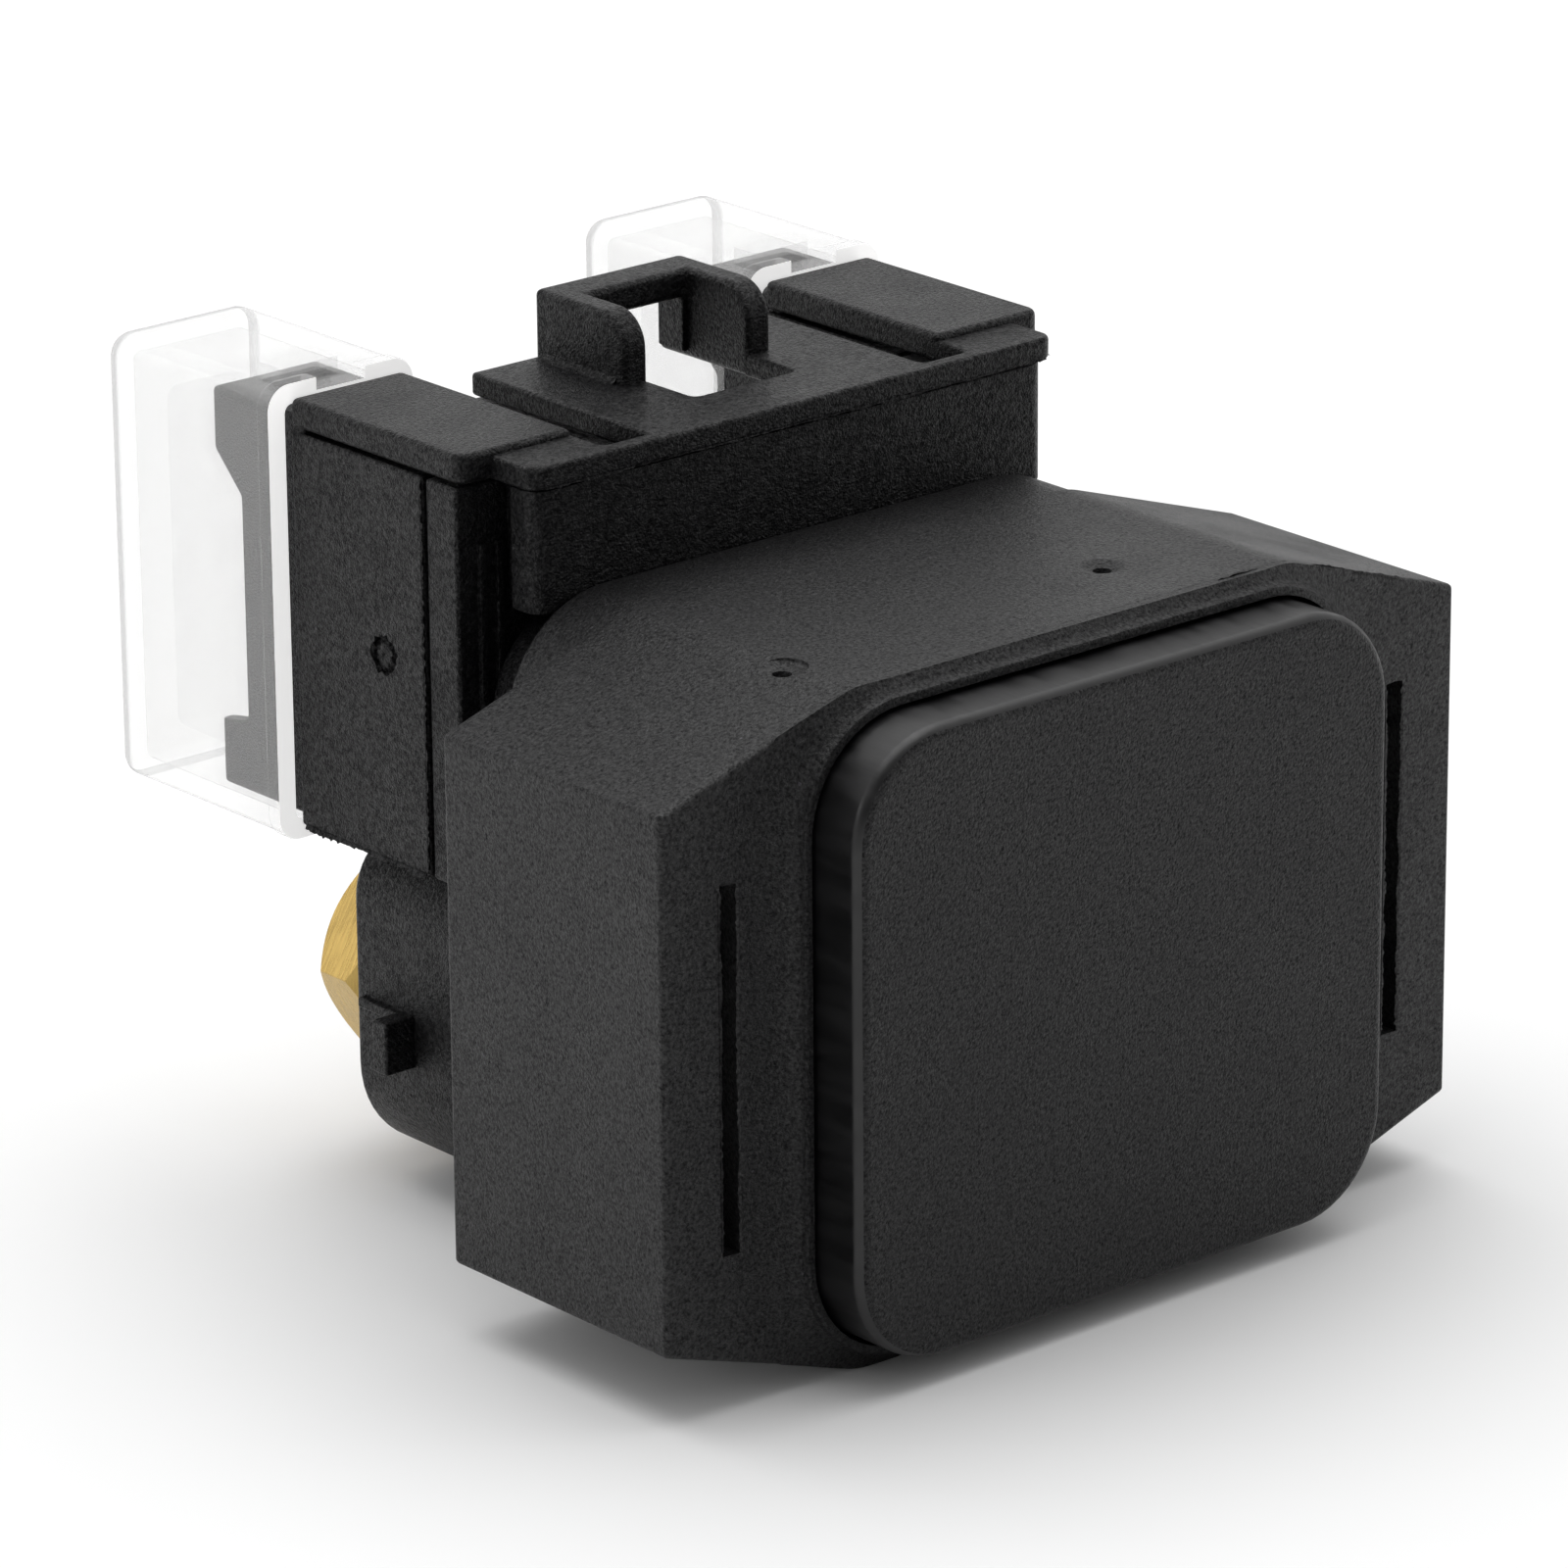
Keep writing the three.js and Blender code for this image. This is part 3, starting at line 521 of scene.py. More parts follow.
class Surface:
    """A material's node tree, with short calls for what the finishes share."""

    def __init__(self, name, **sockets):
        self.material = bpy.data.materials.new(name)
        self.material.use_nodes = True
        self.tree = self.material.node_tree
        self.shader = self.tree.nodes["Principled BSDF"]
        for socket, value in sockets.items():
            self.shader.inputs[socket.replace("_", " ")].default_value = value
        self.place = self.node("ShaderNodeTexCoord").outputs["Object"]

    def node(self, kind, **settings):
        made = self.tree.nodes.new(kind)
        for setting, value in settings.items():
            setattr(made, setting, value)
        return made

    def link(self, source, target):
        self.tree.links.new(source, target)

    def noise(self, size, detail=2.0, roughness=0.55, stretch=(1, 1, 1)):
        """Noise with features of about size metres."""
        mapping = self.node("ShaderNodeMapping")
        mapping.inputs["Scale"].default_value = stretch
        self.link(self.place, mapping.inputs["Vector"])
        texture = self.node("ShaderNodeTexNoise")
        texture.inputs["Scale"].default_value = 1 / size
        texture.inputs["Detail"].default_value = detail
        texture.inputs["Roughness"].default_value = roughness
        self.link(mapping.outputs["Vector"], texture.inputs["Vector"])
        return texture.outputs["Fac"]

    def cells(self, size):
        texture = self.node("ShaderNodeTexVoronoi")
        texture.inputs["Scale"].default_value = 1 / size
        self.link(self.place, texture.inputs["Vector"])
        return texture.outputs["Distance"]

    def mapped(self, value, low, high, to_low=0.0, to_high=1.0):
        """value brought from one range to another, clamped."""
        node = self.node("ShaderNodeMapRange")
        node.inputs["From Min"].default_value = low
        node.inputs["From Max"].default_value = high
        node.inputs["To Min"].default_value = to_low
        node.inputs["To Max"].default_value = to_high
        self.link(value, node.inputs["Value"])
        return node.outputs["Result"]

    def sum(self, first, second, share):
        """first plus share of second."""
        node = self.node("ShaderNodeMath", operation="MULTIPLY_ADD")
        self.link(second, node.inputs[0])
        node.inputs[1].default_value = share
        self.link(first, node.inputs[2])
        return node.outputs[0]

    def blend(self, share, first, second):
        """A colour between first and second, each a colour or another blend."""
        node = self.node("ShaderNodeMix", data_type="RGBA")
        self.link(share, node.inputs["Factor"])
        for socket, value in (("A", first), ("B", second)):
            target = next(s for s in node.inputs if s.name == socket and s.type == "RGBA")
            if isinstance(value, bpy.types.NodeSocket):
                self.link(value, target)
            else:
                target.default_value = (*value, 1)
        return next(s for s in node.outputs if s.type == "RGBA")

    def paint(self, colour_source):
        self.link(colour_source, self.shader.inputs["Base Color"])

    def rough(self, value):
        self.link(value, self.shader.inputs["Roughness"])

    def glint(self, value):
        self.link(value, self.shader.inputs["Specular IOR Level"])

    def raise_by(self, height, depth, strength=1.0):
        """Bump of depth metres from a height of 0 to 1."""
        bump = self.node("ShaderNodeBump")
        bump.inputs["Distance"].default_value = depth
        bump.inputs["Strength"].default_value = strength
        self.link(height, bump.inputs["Height"])
        self.link(bump.outputs["Normal"], self.shader.inputs["Normal"])


def tinted(base, factor):
    return tuple(min(1.0, channel * factor) for channel in base)


@finish("glass_filled_nylon")
def glass_filled_nylon(name):
    """Black nylon whose glass shows as pale flecks in a coarse spark-eroded grain."""
    base = tuple(colours().nylon)
    grain = sizes().nylon_grain
    surface = Surface(name)
    fine = surface.noise(grain, detail=2, roughness=0.6)
    cloud = surface.noise(0.004, detail=3)
    speckle = surface.noise(grain * 1.8, detail=3, roughness=0.8)
    surface.glint(surface.mapped(speckle, 0.40, 0.66, 0.08, 0.46))
    dark = surface.blend(surface.mapped(cloud, 0.3, 0.7), tinted(base, 0.75), tinted(base, 1.35))
    surface.paint(surface.blend(surface.mapped(speckle, 0.60, 0.72), dark, tinted(base, 4)))
    surface.rough(surface.mapped(surface.sum(cloud, fine, 0.6), 0.5, 1.1, 0.28, 0.44))
    surface.raise_by(surface.sum(fine, speckle, 0.8), grain * 0.9)
    return surface.material


@finish("case_resin")
def case_resin(name):
    """Black resin with a fine even texture."""
    base = tuple(colours().case)
    grain = sizes().rubber_grain
    surface = Surface(name)
    fine = surface.noise(grain, detail=2, roughness=0.6)
    surface.glint(surface.mapped(surface.noise(grain * 1.4, detail=2, roughness=0.7), 0.3, 0.7, 0.08, 0.5))
    cloud = surface.noise(0.006, detail=2)
    surface.paint(surface.blend(surface.mapped(cloud, 0.3, 0.7), tinted(base, 0.8), tinted(base, 1.3)))
    surface.rough(surface.mapped(surface.sum(cloud, fine, 0.5), 0.4, 1.0, 0.36, 0.48))
    surface.raise_by(fine, grain * 0.7)
    return surface.material


@finish("case_side")
def case_side(name):
    """The case's drafted sides, polished by the mould and by the damper."""
    base = tuple(colours().case)
    surface = Surface(name, Specular_IOR_Level=0.5)
    streaks = surface.noise(0.0009, detail=3, stretch=(1, 0.15, 1))
    surface.paint(surface.blend(surface.mapped(streaks, 0.3, 0.7), tinted(base, 0.7), tinted(base, 1.4)))
    surface.rough(surface.mapped(streaks, 0.3, 0.7, 0.30, 0.48))
    surface.raise_by(streaks, 0.00002)
    return surface.material


@finish("damper_rubber")
def damper_rubber(name):
    """Matt black rubber with dust, faint scuffs and a soft sheen."""
    base = tuple(colours().rubber)
    grain = sizes().rubber_grain
    surface = Surface(name)
    fine = surface.noise(grain, detail=3, roughness=0.65)
    surface.glint(surface.mapped(surface.noise(grain * 1.4, detail=2, roughness=0.7), 0.3, 0.7, 0.1, 0.66))
    cloud = surface.noise(0.005, detail=4)
    dust = surface.mapped(surface.noise(0.00045, detail=1), 0.765, 0.80)
    scuff = surface.mapped(surface.noise(0.0016, detail=4, stretch=(1, 1, 0.25)), 0.62, 0.78, 0, 0.6)
    soft = surface.blend(surface.mapped(cloud, 0.3, 0.7), tinted(base, 0.8), tinted(base, 1.3))
    worn = surface.blend(scuff, soft, tinted(base, 2.0))
    surface.paint(surface.blend(dust, worn, tinted(base, 12)))
    surface.rough(surface.mapped(surface.sum(cloud, fine, 0.5), 0.4, 1.0, 0.38, 0.52))
    surface.raise_by(surface.sum(fine, cloud, 0.5), grain * 0.7)
    return surface.material


def frosted(name, end_density_and_shade):
    """Natural translucent resin, satin inside and out. It is denser where seen along its skin, and there its
    colour is painted grey as painted shade for the darker surroundings refracted through the wall; the end
    share adds more of both where the closed end's wall is seen on edge."""
    base = tuple(colours().cover)
    surface = Surface(name, Transmission_Weight=0.3, IOR=1.45)
    facing = surface.node("ShaderNodeLayerWeight")
    facing.inputs["Blend"].default_value = 0.35
    slant = facing.outputs["Facing"]
    haze = surface.noise(0.0035, detail=3)
    axes = surface.node("ShaderNodeSeparateXYZ")
    surface.link(surface.place, axes.inputs[0])
    end = (span("fuse_cover_left")[1][1] + DATUM.y) * MM
    end_wall = surface.mapped(axes.outputs["Y"], end - 0.0012, end - 0.0009)
    # painted shade: this mask greys the colour, and raises the alpha, where the wall is seen on edge,
    # standing in for darker surroundings refracted through it
    density_and_painted_shade = surface.sum(surface.mapped(slant, 0.5, 0.95), end_wall, end_density_and_shade)
    surface.paint(surface.blend(density_and_painted_shade, base, tinted(base, 0.32)))
    surface.link(surface.mapped(density_and_painted_shade, 0.0, 1.0, 0.15, 0.5), surface.shader.inputs["Alpha"])
    surface.rough(surface.mapped(haze, 0.3, 0.7, 0.30, 0.40))
    surface.raise_by(surface.noise(0.0006, detail=1), 0.000006)
    return surface.material


@finish("frosted_cover")
def frosted_cover(name):
    return frosted(name, 0)


@finish("frosted_side")
def frosted_side(name):
    return frosted(name, 1.0)


@finish("frosted_rim_glow")
def frosted_rim_glow(name):
    """The cut edge of the cover's wall, with a painted glow: emission that stands in for the light the wall
    carries to it.
    """
    base = tuple(colours().cover)
    surface = Surface(name, Roughness=0.8, Emission_Color=(*base, 1), Emission_Strength=0.55)
    haze = surface.noise(0.0008, detail=3)
    surface.paint(surface.blend(surface.mapped(haze, 0.3, 0.75), tinted(base, 0.94), base))
    surface.raise_by(haze, 0.00002)
    return surface.material


@finish("fuse_resin")
def fuse_resin(name):
    """Clear polycarbonate of the fuse bodies, which shows as a faint haze."""
    surface = Surface(name, IOR=1.3, Base_Color=(*colours().fuse, 1))
    haze = surface.noise(0.002, detail=2)
    surface.link(surface.mapped(haze, 0.3, 0.7, 0.03, 0.07), surface.shader.inputs["Alpha"])
    surface.rough(surface.mapped(haze, 0.3, 0.7, 0.06, 0.14))
    surface.raise_by(haze, 0.00002)
    return surface.material


def machined(name, base, ring_size, dull, **sockets):
    """Bare metal with tool marks: fine streaks round the Y axis and dull patches."""
    surface = Surface(name, Metallic=1.0, **sockets)
    marks = surface.noise(ring_size, detail=3, stretch=(0.25, 2.5, 0.25))
    patches = surface.noise(0.003, detail=4)
    shade = surface.sum(marks, patches, 0.8)
    surface.paint(surface.blend(surface.mapped(shade, 0.55, 1.25), tinted(base, 0.72), tinted(base, 1.12)))
    surface.rough(surface.mapped(shade, 0.5, 1.3, dull - 0.08, dull + 0.14))
    surface.raise_by(marks, 0.000012)
    return surface.material


@finish("terminal_brass")
def terminal_brass(name):
    return machined(name, tuple(colours().brass), 0.0004, 0.25)


@finish("contact_copper")
def contact_copper(name):
    return machined(name, tuple(colours().copper), 0.0004, 0.28)


@finish("tinned_metal")
def tinned_metal(name):
    return machined(name, tuple(colours().tin), 0.0005, 0.30)


@finish("zinc_steel")
def zinc_steel(name):
    return machined(name, tuple(colours().zinc), 0.0006, 0.34)


@finish("enamelled_wire")
def enamelled_wire(name):
    """Copper wire under amber enamel."""
    base = tuple(colours().enamel)
    surface = Surface(name, Metallic=0.8, Coat_Weight=0.8, Coat_Roughness=0.12)
    tone = surface.noise(0.0015, detail=3)
    surface.paint(surface.blend(surface.mapped(tone, 0.3, 0.7), tinted(base, 0.7), tinted(base, 1.3)))
    surface.rough(surface.mapped(tone, 0.3, 0.7, 0.28, 0.42))
    surface.raise_by(tone, 0.00001)
    return surface.material


@finish("bobbin_nylon")
def bobbin_nylon(name):
    """Natural nylon, a little see-through at the surface."""
    base = tuple(colours().bobbin)
    surface = Surface(name, Subsurface_Weight=0.15, Subsurface_Scale=0.001)
    tone = surface.noise(0.002, detail=3)
    surface.paint(surface.blend(surface.mapped(tone, 0.3, 0.7), tinted(base, 0.88), tinted(base, 1.1)))
    surface.rough(surface.mapped(tone, 0.3, 0.7, 0.40, 0.55))
    surface.raise_by(surface.noise(0.0003), 0.00001)
    return surface.material


# ---------------------------------------------------------------- placing a piece

IN_FRAME = Matrix.Scale(MM, 4) @ Matrix.Translation(DATUM)
SLOT_FINISH = {
    "damper_rubber": "damper_rubber",
    "case_resin": "case_resin",
    "housing_resin": "glass_filled_nylon",
    "cover_resin": "frosted_cover",
    "fuse_resin": "fuse_resin",
    "bobbin_resin": "bobbin_nylon",
    "terminal_brass": "terminal_brass",
    "contact_copper": "contact_copper",
    "enamelled_copper": "enamelled_wire",
    "tinned_metal": "tinned_metal",
    "zinc_steel": "zinc_steel",
}
NODE_SLOT = {row["node"]: row["material_slot"] for row in frame["record"]["subparts"]}
NODE_BODY = {node: body for body, nodes in frame["record"]["behaviour"]["bodies"].items() for node in nodes}


def smoothed(work):
    """work shaded smooth across its rounded edges and flat on its flats."""
    bm = bmesh.new()
    bm.from_mesh(work.data)
    bmesh.ops.remove_doubles(bm, verts=bm.verts, dist=0.002)
    bmesh.ops.dissolve_degenerate(bm, dist=0.001, edges=bm.edges)
    bm.to_mesh(work.data)
    bm.free()
    work.data.shade_smooth()
    work.data.set_sharp_from_angle(angle=math.radians(40))
    return modified(work, "WEIGHTED_NORMAL", keep_sharp=True, weight=60)


def place(work, node, name=None):
    """Puts a finished piece in the frame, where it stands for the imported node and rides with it."""
    smoothed(work)
    work.name = name or node + "_piece"
    work.data.name = work.name
    work.data.transform(IN_FRAME)
    slot = NODE_SLOT[node]
    work.data.materials.clear()
    work.data.materials.append(finished(SLOT_FINISH[slot]))
    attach(work, NODE_BODY[node])
    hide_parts(node)
    return work


def keep(node, edge):
    """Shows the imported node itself, with its edges broken and its own finish."""
    shown = frame["nodes"][node]
    shown.data.materials.clear()
    shown.data.materials.append(finished(SLOT_FINISH[NODE_SLOT[node]]))
    bevel = shown.modifiers.new("broken_edges", "BEVEL")
    bevel.width = edge * MM
    bevel.segments = 2
    bevel.limit_method = "ANGLE"
    bevel.angle_limit = math.radians(31)


# ---------------------------------------------------------------- damper and case

def ear_outline(inset=0):
    """The damper seen from the front: a flat crown, slopes, and upright ears."""
    x, _, z = span("rubber_damper")
    x, z = grown(x, -inset), grown(z, -inset)
    ear = EAR_HALF_HEIGHT - inset
    return filleted([
        (x[0], -ear, 0.35),
        (-CROWN_HALF, z[0], CROWN_BEND),
        (CROWN_HALF, z[0], CROWN_BEND),
        (x[1], -ear, 0.35),
        (x[1], ear, 0.35),
        (CROWN_HALF, z[1], CROWN_BEND),
        (-CROWN_HALF, z[1], CROWN_BEND),
        (x[0], ear, 0.35),
    ])


def case_outline(grow, steps=12):
    x, _, z = span("relay_case")
    return rounded(grown(x, grow), grown(z, grow), CASE_CORNER + grow, steps)


def throat():
    """The lip and the hollow curve that runs from it out to the ears' faces."""
    brow = -LIP + 0.2
    levels = [(FIT + 0.1, -LIP), (LIP_WALL - 0.2, -LIP), (LIP_WALL - 0.06, -LIP + 0.06), (LIP_WALL, brow)]
    steps = 8
    for i in range(1, steps + 1):
        angle = math.pi / 2 * i / steps
        depth = (0.01 - brow) * math.sin(angle)
        levels.append((LIP_WALL + THROAT * (1 - math.cos(angle)), brow + depth))
    levels.append((LIP_WALL + THROAT, 1))
    rings = [[(a, y, b) for a, b in case_outline(grow)] for grow, y in levels]
    return loft(rings)


def damper_top(x):
    """Height of the damper's top at x: level across the crown, then down to the ears."""
    half_width, crown = span("rubber_damper")[0][1], span("rubber_damper")[2][1]
    slope = (crown - EAR_HALF_HEIGHT) / (half_width - CROWN_HALF)
    return crown - max(0, abs(x) - CROWN_HALF) * slope


def dimple(x, y):
    """A cutter for a shallow pit with a pin hole in its middle, in the damper's top."""
    z = damper_top(x)
    hole = [(0.05, -0.9), (0.42, -0.8), (0.50, -0.26)]
    pit = [(0.74, -0.17), (1.05, -0.06), (1.3, 0.03), (1.5, 0.6)]
    rings = []
    for radius, rise in hole + pit:
        rings.append([(x + a, y + b, z + rise) for a, b in circle(radius, sides=20)])
    return loft(rings)


def build_damper():
    edge = in_mm("rubber_edge")
    _, y, z = span("rubber_damper")
    ears = eased(prism(ear_outline(), "Y", (0, EAR_BACK)), edge)
    collar_outline = rounded((-COLLAR_HALF, COLLAR_HALF), z, COLLAR_CORNER, 12)
    collar = eased(prism(collar_outline, "Y", (1, y[1])), edge)
    lip = common(throat(), prism(ear_outline(OVERLAP), "Y", (-3, 2)))
    damper = added(ears, collar, lip)
    bore = prism(case_outline(FIT), "Y", (-3, y[1] + 1))
    slots = []
    for side in (-1, 1):
        x = grown((side * SLOT_X, side * SLOT_X), SLOT_THICKNESS / 2)
        torn = ragged(rounded(x, (-SLOT_HALF_HEIGHT, SLOT_HALF_HEIGHT), 0), 0.06, 0.55, 40 + side)
        slots.append(prism(torn, "Y", (-1, EAR_BACK + 1)))
    damper = cut(damper, bore, *slots, *[dimple(*spot) for spot in DIMPLES])
    reach = in_mm("flash")
    slot_fins = []
    for side in (-1, 1):
        for wall in (-1, 1):
            x = side * SLOT_X + wall * SLOT_THICKNESS / 2
            path = [(x, 0, -SLOT_HALF_HEIGHT + 0.3), (x, 0, SLOT_HALF_HEIGHT - 0.3)]
            slot_fins.append(flash_fin(path, (-wall, 0.1, 0), reach * 0.7, 50 + 2 * side + wall))
    crest = [(x, 0.06, damper_top(x) - 0.06) for x in (10, 12, 17, 20, 23)]
    top_fins = [flash_fin(crest, (0, -0.5, 1), reach * 0.8, 61, pitch=0.25)]
    place(joined(damper, *slot_fins, *top_fins), "rubber_damper")


def build_case():
    _, y, _ = span("relay_case")
    outer = eased(prism(case_outline(0), "Y", y), in_mm("case_edge"), 5)
    hollow = prism(case_outline(-CASE_WALL), "Y", (y[0] + CASE_WALL, y[1] + 1))
    case = place(cut(outer, hollow), "relay_case")
    case.data.materials.append(finished("case_side"))
    for face in case.data.polygons:
        face.material_index = 0 if face.normal.y < -0.75 else 1


# ---------------------------------------------------------------- terminal base

def build_terminal_base():
    edge = in_mm("moulded_edge")
    x, y, z = span("terminal_base")
    half = middle((span("relay_case")[0][1], 0)) * 2
    flange = eased(prism(rounded((-half, half), z, CASE_CORNER, 12), "Y", (y[0], FLANGE_BACK)), 0.2)
    tail_outline = rounded((-half, half), (z[0], BASE_TOP), (CASE_CORNER, 3.6, 3.6, CASE_CORNER), 12)
    tail = eased(prism(tail_outline, "Y", (y[0] + 0.5, BASE_TAIL_BACK)), edge * 2, 4)
    barrier_outline = filleted([
        (BASE_TAIL_BACK - 1, -15.2, 0),
        (y[1], -15.2, 2),
        (y[1], 0.8, 2),
        (BASE_TAIL_BACK - 1, 0.8, 0),
    ])
    barrier = eased(prism(barrier_outline, "X", (-0.8, 0.8)), edge)
    base = added(flange, tail, barrier)
    for side in (-1, 1):
        lug = side_span(side, (half - 0.5, x[1]))
        ledge = side_span(side, (half - 0.5, half + 0.4))
        base = added(
            base,
            eased(block(lug, (31, 32.2), (-10.1, -7.2)), 0.15),
            eased(block(ledge, (31, 35.3), (-7.75, -7.2)), 0.12),
            eased(block(ledge, (31, 33.2), (-10.1, -9.6)), 0.12),
        )
    chamber = rounded((-half + 1.8, half - 1.8), (z[0] + 1.7, 0.1), (4, 2, 2, 4))
    cutters = [prism(chamber, "Y", (y[0] - 1, CHAMBER_BACK))]
    for node in ("contact_terminal_battery", "contact_terminal_motor"):
        centre = middle(span(node)[0])
        hole = circle(TERMINAL_HOLE, (centre, TERMINAL_Z))
        cutters.append(prism(hole, "Y", (CHAMBER_BACK - 1, BASE_TAIL_BACK + 1)))
    cutters += pin_openings((y[0] - 1, FLANGE_BACK + 1))
    cutters.append(strap_opening((-1, BASE_TOP + 1)))
    base = cut(base, *cutters)
    place(base, "terminal_base")


def pin_openings(y):
    """Cutters for the four tabs of the socket."""
    openings = []
    for number in range(1, 5):
        x, _, z = span(f"connector_pin_{number}")
        openings.append(block(grown(x, FIT), y, grown(z, FIT)))
    return openings


def strap_opening(z):
    x, y, _ = span("fuse_strap")
    tongue = (x[0], x[0] + 2.4)
    return block(grown(tongue, FIT), grown(y, FIT), z)


# ---------------------------------------------------------------- socket housing and cap

def build_housing():
    edge = in_mm("moulded_edge")
    x, y, z = span("connector_housing")
    wings = eased(block(x, (WING_FRONT, WING_BACK), z), edge)
    box = eased(block((-BOX_HALF, BOX_HALF), (WING_FRONT + 0.5, y[1]), z), edge)
    wall_outline = rounded((-WALL_HALF, WALL_HALF), (y[0], WALL_BACK), (1, 0.3, 0.3, 1))
    wall = eased(prism(wall_outline, "Z", (WALL_BOTTOM, z[1])), 0.12, 2)
    neck_half = WALL_HALF - 0.9
    neck = block((-neck_half, neck_half), (WALL_BACK - 0.5, WING_FRONT + 0.5), (WALL_BOTTOM, z[1]))
    housing = added(wings, box, wall, neck)
    for side in (-1, 1):
        for rib_x in RIBS_X:
            across = side_span(side, grown((rib_x, rib_x), 0.22))
            rib = block(across, (WING_FRONT - 0.3, WING_FRONT + 1), RIBS_Z)
            housing = added(housing, eased(rib, 0.1, 2))
    socket = prism(
        rounded((-SOCKET_HALF, SOCKET_HALF), (SOCKET_BOTTOM, z[1] + 3), 0.5), "Y", (SOCKET_FLOOR, y[1] + 1)
    )
    housing = cut(housing, socket, *pin_openings((WING_FRONT - 1, SOCKET_FLOOR + 1)))
    place(housing, "connector_housing")


def cap_plate():
    """The cap's flat part: a bar over the wall, a stem over the socket, and a web out to each lid."""
    _, y, z = span("top_cap")
    back = span("connector_housing")[1][1]
    right = [
        (BAR_HALF, y[0], 0.9),
        (BAR_HALF, LID_FRONT + 1, 0),
        (LID_INNER, LID_FRONT + 1, 0),
        (LID_INNER, BAR_BACK, 0.4),
        (BOX_HALF, BAR_BACK, 0.4),
        (BOX_HALF, back, 0),
    ]
    left = [(-a, b, radius) for a, b, radius in reversed(right)]
    plate = prism(filleted(right + left), "Z", (z[0], PLATE_TOP))
    through = (z[0] - 1, z[1])
    half = WINDOW_HALF + OVERLAP
    opening = rounded((-half, half), (WINDOW_FRONT, BRIDGE_FRONT + 0.6), (0.4, 0, 0, 0.4))
    window = prism(opening, "Z", through)
    well = block((-BRIDGE_HALF + 0.8, BRIDGE_HALF - 0.8), (BRIDGE_FRONT + 0.5, back + 1), through)
    return eased(cut(plate, window, well), in_mm("moulded_edge"))


def cap_lid(side):
    x, y, z = span("top_cap")
    ends = side_span(side, (LID_INNER + OVERLAP, x[1]))
    radii = (0.8, 0, 0, 0) if side > 0 else (0, 0, 0, 0.8)
    heights = (z[0] + OVERLAP, PLATE_TOP + 0.35)
    return eased(prism(rounded(ends, (LID_FRONT, y[1]), radii), "Z", heights), in_mm("lid_edge"), 4)


def latch_bridge():
    """Two arms and the bar across their backs, which a plug's latch hooks under."""
    z = span("top_cap")[2]
    back = span("connector_housing")[1][1] - OVERLAP
    foot = z[0] + OVERLAP
    outline = filleted([
        (BRIDGE_FRONT, foot, 0),
        (back, foot, 0),
        (back, z[1], 0),
        (BRIDGE_FRONT, z[1], BRIDGE_NOSE),
    ], 10)
    bridge = prism(outline, "X", (-BRIDGE_HALF, BRIDGE_HALF))
    inside = (-WINDOW_HALF, WINDOW_HALF)
    between_arms = block(inside, (BRIDGE_FRONT - 1, BRIDGE_BAR_FRONT), (foot - 1, z[1] + 1))
    passage = block(inside, (BRIDGE_BAR_FRONT - 1, back + 1), (foot - 1, BRIDGE_BAR_BOTTOM))
    bridge = eased(cut(bridge, between_arms, passage), in_mm("bridge_edge"), 4)
    return added(bridge, *on_both_sides(passage_jamb))


def passage_jamb(side):
    """The step that narrows the passage under the bar."""
    z = span("top_cap")[2]
    x = side_span(side, (PASSAGE_HALF, WINDOW_HALF + 0.4))
    y = (BRIDGE_BAR_FRONT + 0.05, span("connector_housing")[1][1] - 0.4)
    return eased(block(x, y, (z[0] + 0.4, BRIDGE_BAR_BOTTOM + 0.4)), 0.1, 2)


def bridge_foot(side, radius=0.45, steps=6):
    """The hollow curve where an arm's outer side runs out onto the plate."""
    outline = [
        Vector((side * (BRIDGE_HALF - 0.4), PLATE_TOP + radius)),
        Vector((side * (BRIDGE_HALF - 0.4), PLATE_TOP - 0.2)),
        Vector((side * (BRIDGE_HALF + radius), PLATE_TOP - 0.2)),
    ]
    for i in range(steps + 1):
        angle = math.pi / 2 * i / steps
        outline.append(Vector((
            side * (BRIDGE_HALF - 0.01 + radius * (1 - math.sin(angle))),
            PLATE_TOP - 0.01 + radius * (1 - math.cos(angle)),
        )))
    return prism(outline, "Y", (BRIDGE_FRONT + 0.7, span("connector_housing")[1][1] - 0.5))


def build_cap():
    _, y, z = span("top_cap")
    cap = added(cap_plate(), *on_both_sides(cap_lid), latch_bridge(), *on_both_sides(bridge_foot))
    reach = in_mm("flash")
    front, low, high = y[0] + 0.06, z[0] + 0.1, PLATE_TOP - 0.35
    end = BAR_HALF - 0.1
    seam = [(-BAR_HALF + 0.9, front, z[0] + 0.05), (BAR_HALF - 0.6, front, z[0] + 0.05)]
    low_end = [(end, y[0] + 0.4, low), (end, BAR_BACK + 1.5, low)]
    high_end = [(end, y[0] + 0.5, high), (end, BAR_BACK + 0.6, high)]
    fins = [
        flash_fin(seam, (0, -0.6, -1), reach * 0.5, 71),
        flash_fin(low_end, (1, -0.1, -0.4), reach * 1.6, 72),
        flash_fin(high_end, (1, 0, 0.2), reach, 73),
    ]
    place(joined(cap, *fins), "top_cap")


# ---------------------------------------------------------------- fuse holders, covers and fuses

def fuse_pockets(node):
    """Heights of the two pockets that a fuse's blades go into."""
    centre = middle(span(node)[2])
    return [(centre + side * 4.6 - 3.1, centre + side * 4.6 + 3.1) for side in (-1, 1)]


def sprue_pit(x, y, z, seed):
    """A cutter for the rough pit left where the sprue was broken off a side that faces -X."""
    rng = random.Random(seed)
    rim = [(1.15, -0.5), (1.08, 0.03), (0.98, 0.26), (0.74, 0.3)]
    stump = [(0.6, 0.08), (0.3, 0.05), (0.1, 0.1)]
    rings = []
    for radius, depth in rim + stump:
        ring = []
        for a, b in circle(1, sides=28):
            reach = radius * rng.uniform(0.84, 1.16)
            ring.append((x + depth * rng.uniform(0.5, 1.4), y + a * reach, z + b * reach))
        rings.append(ring)
    return loft(rings)


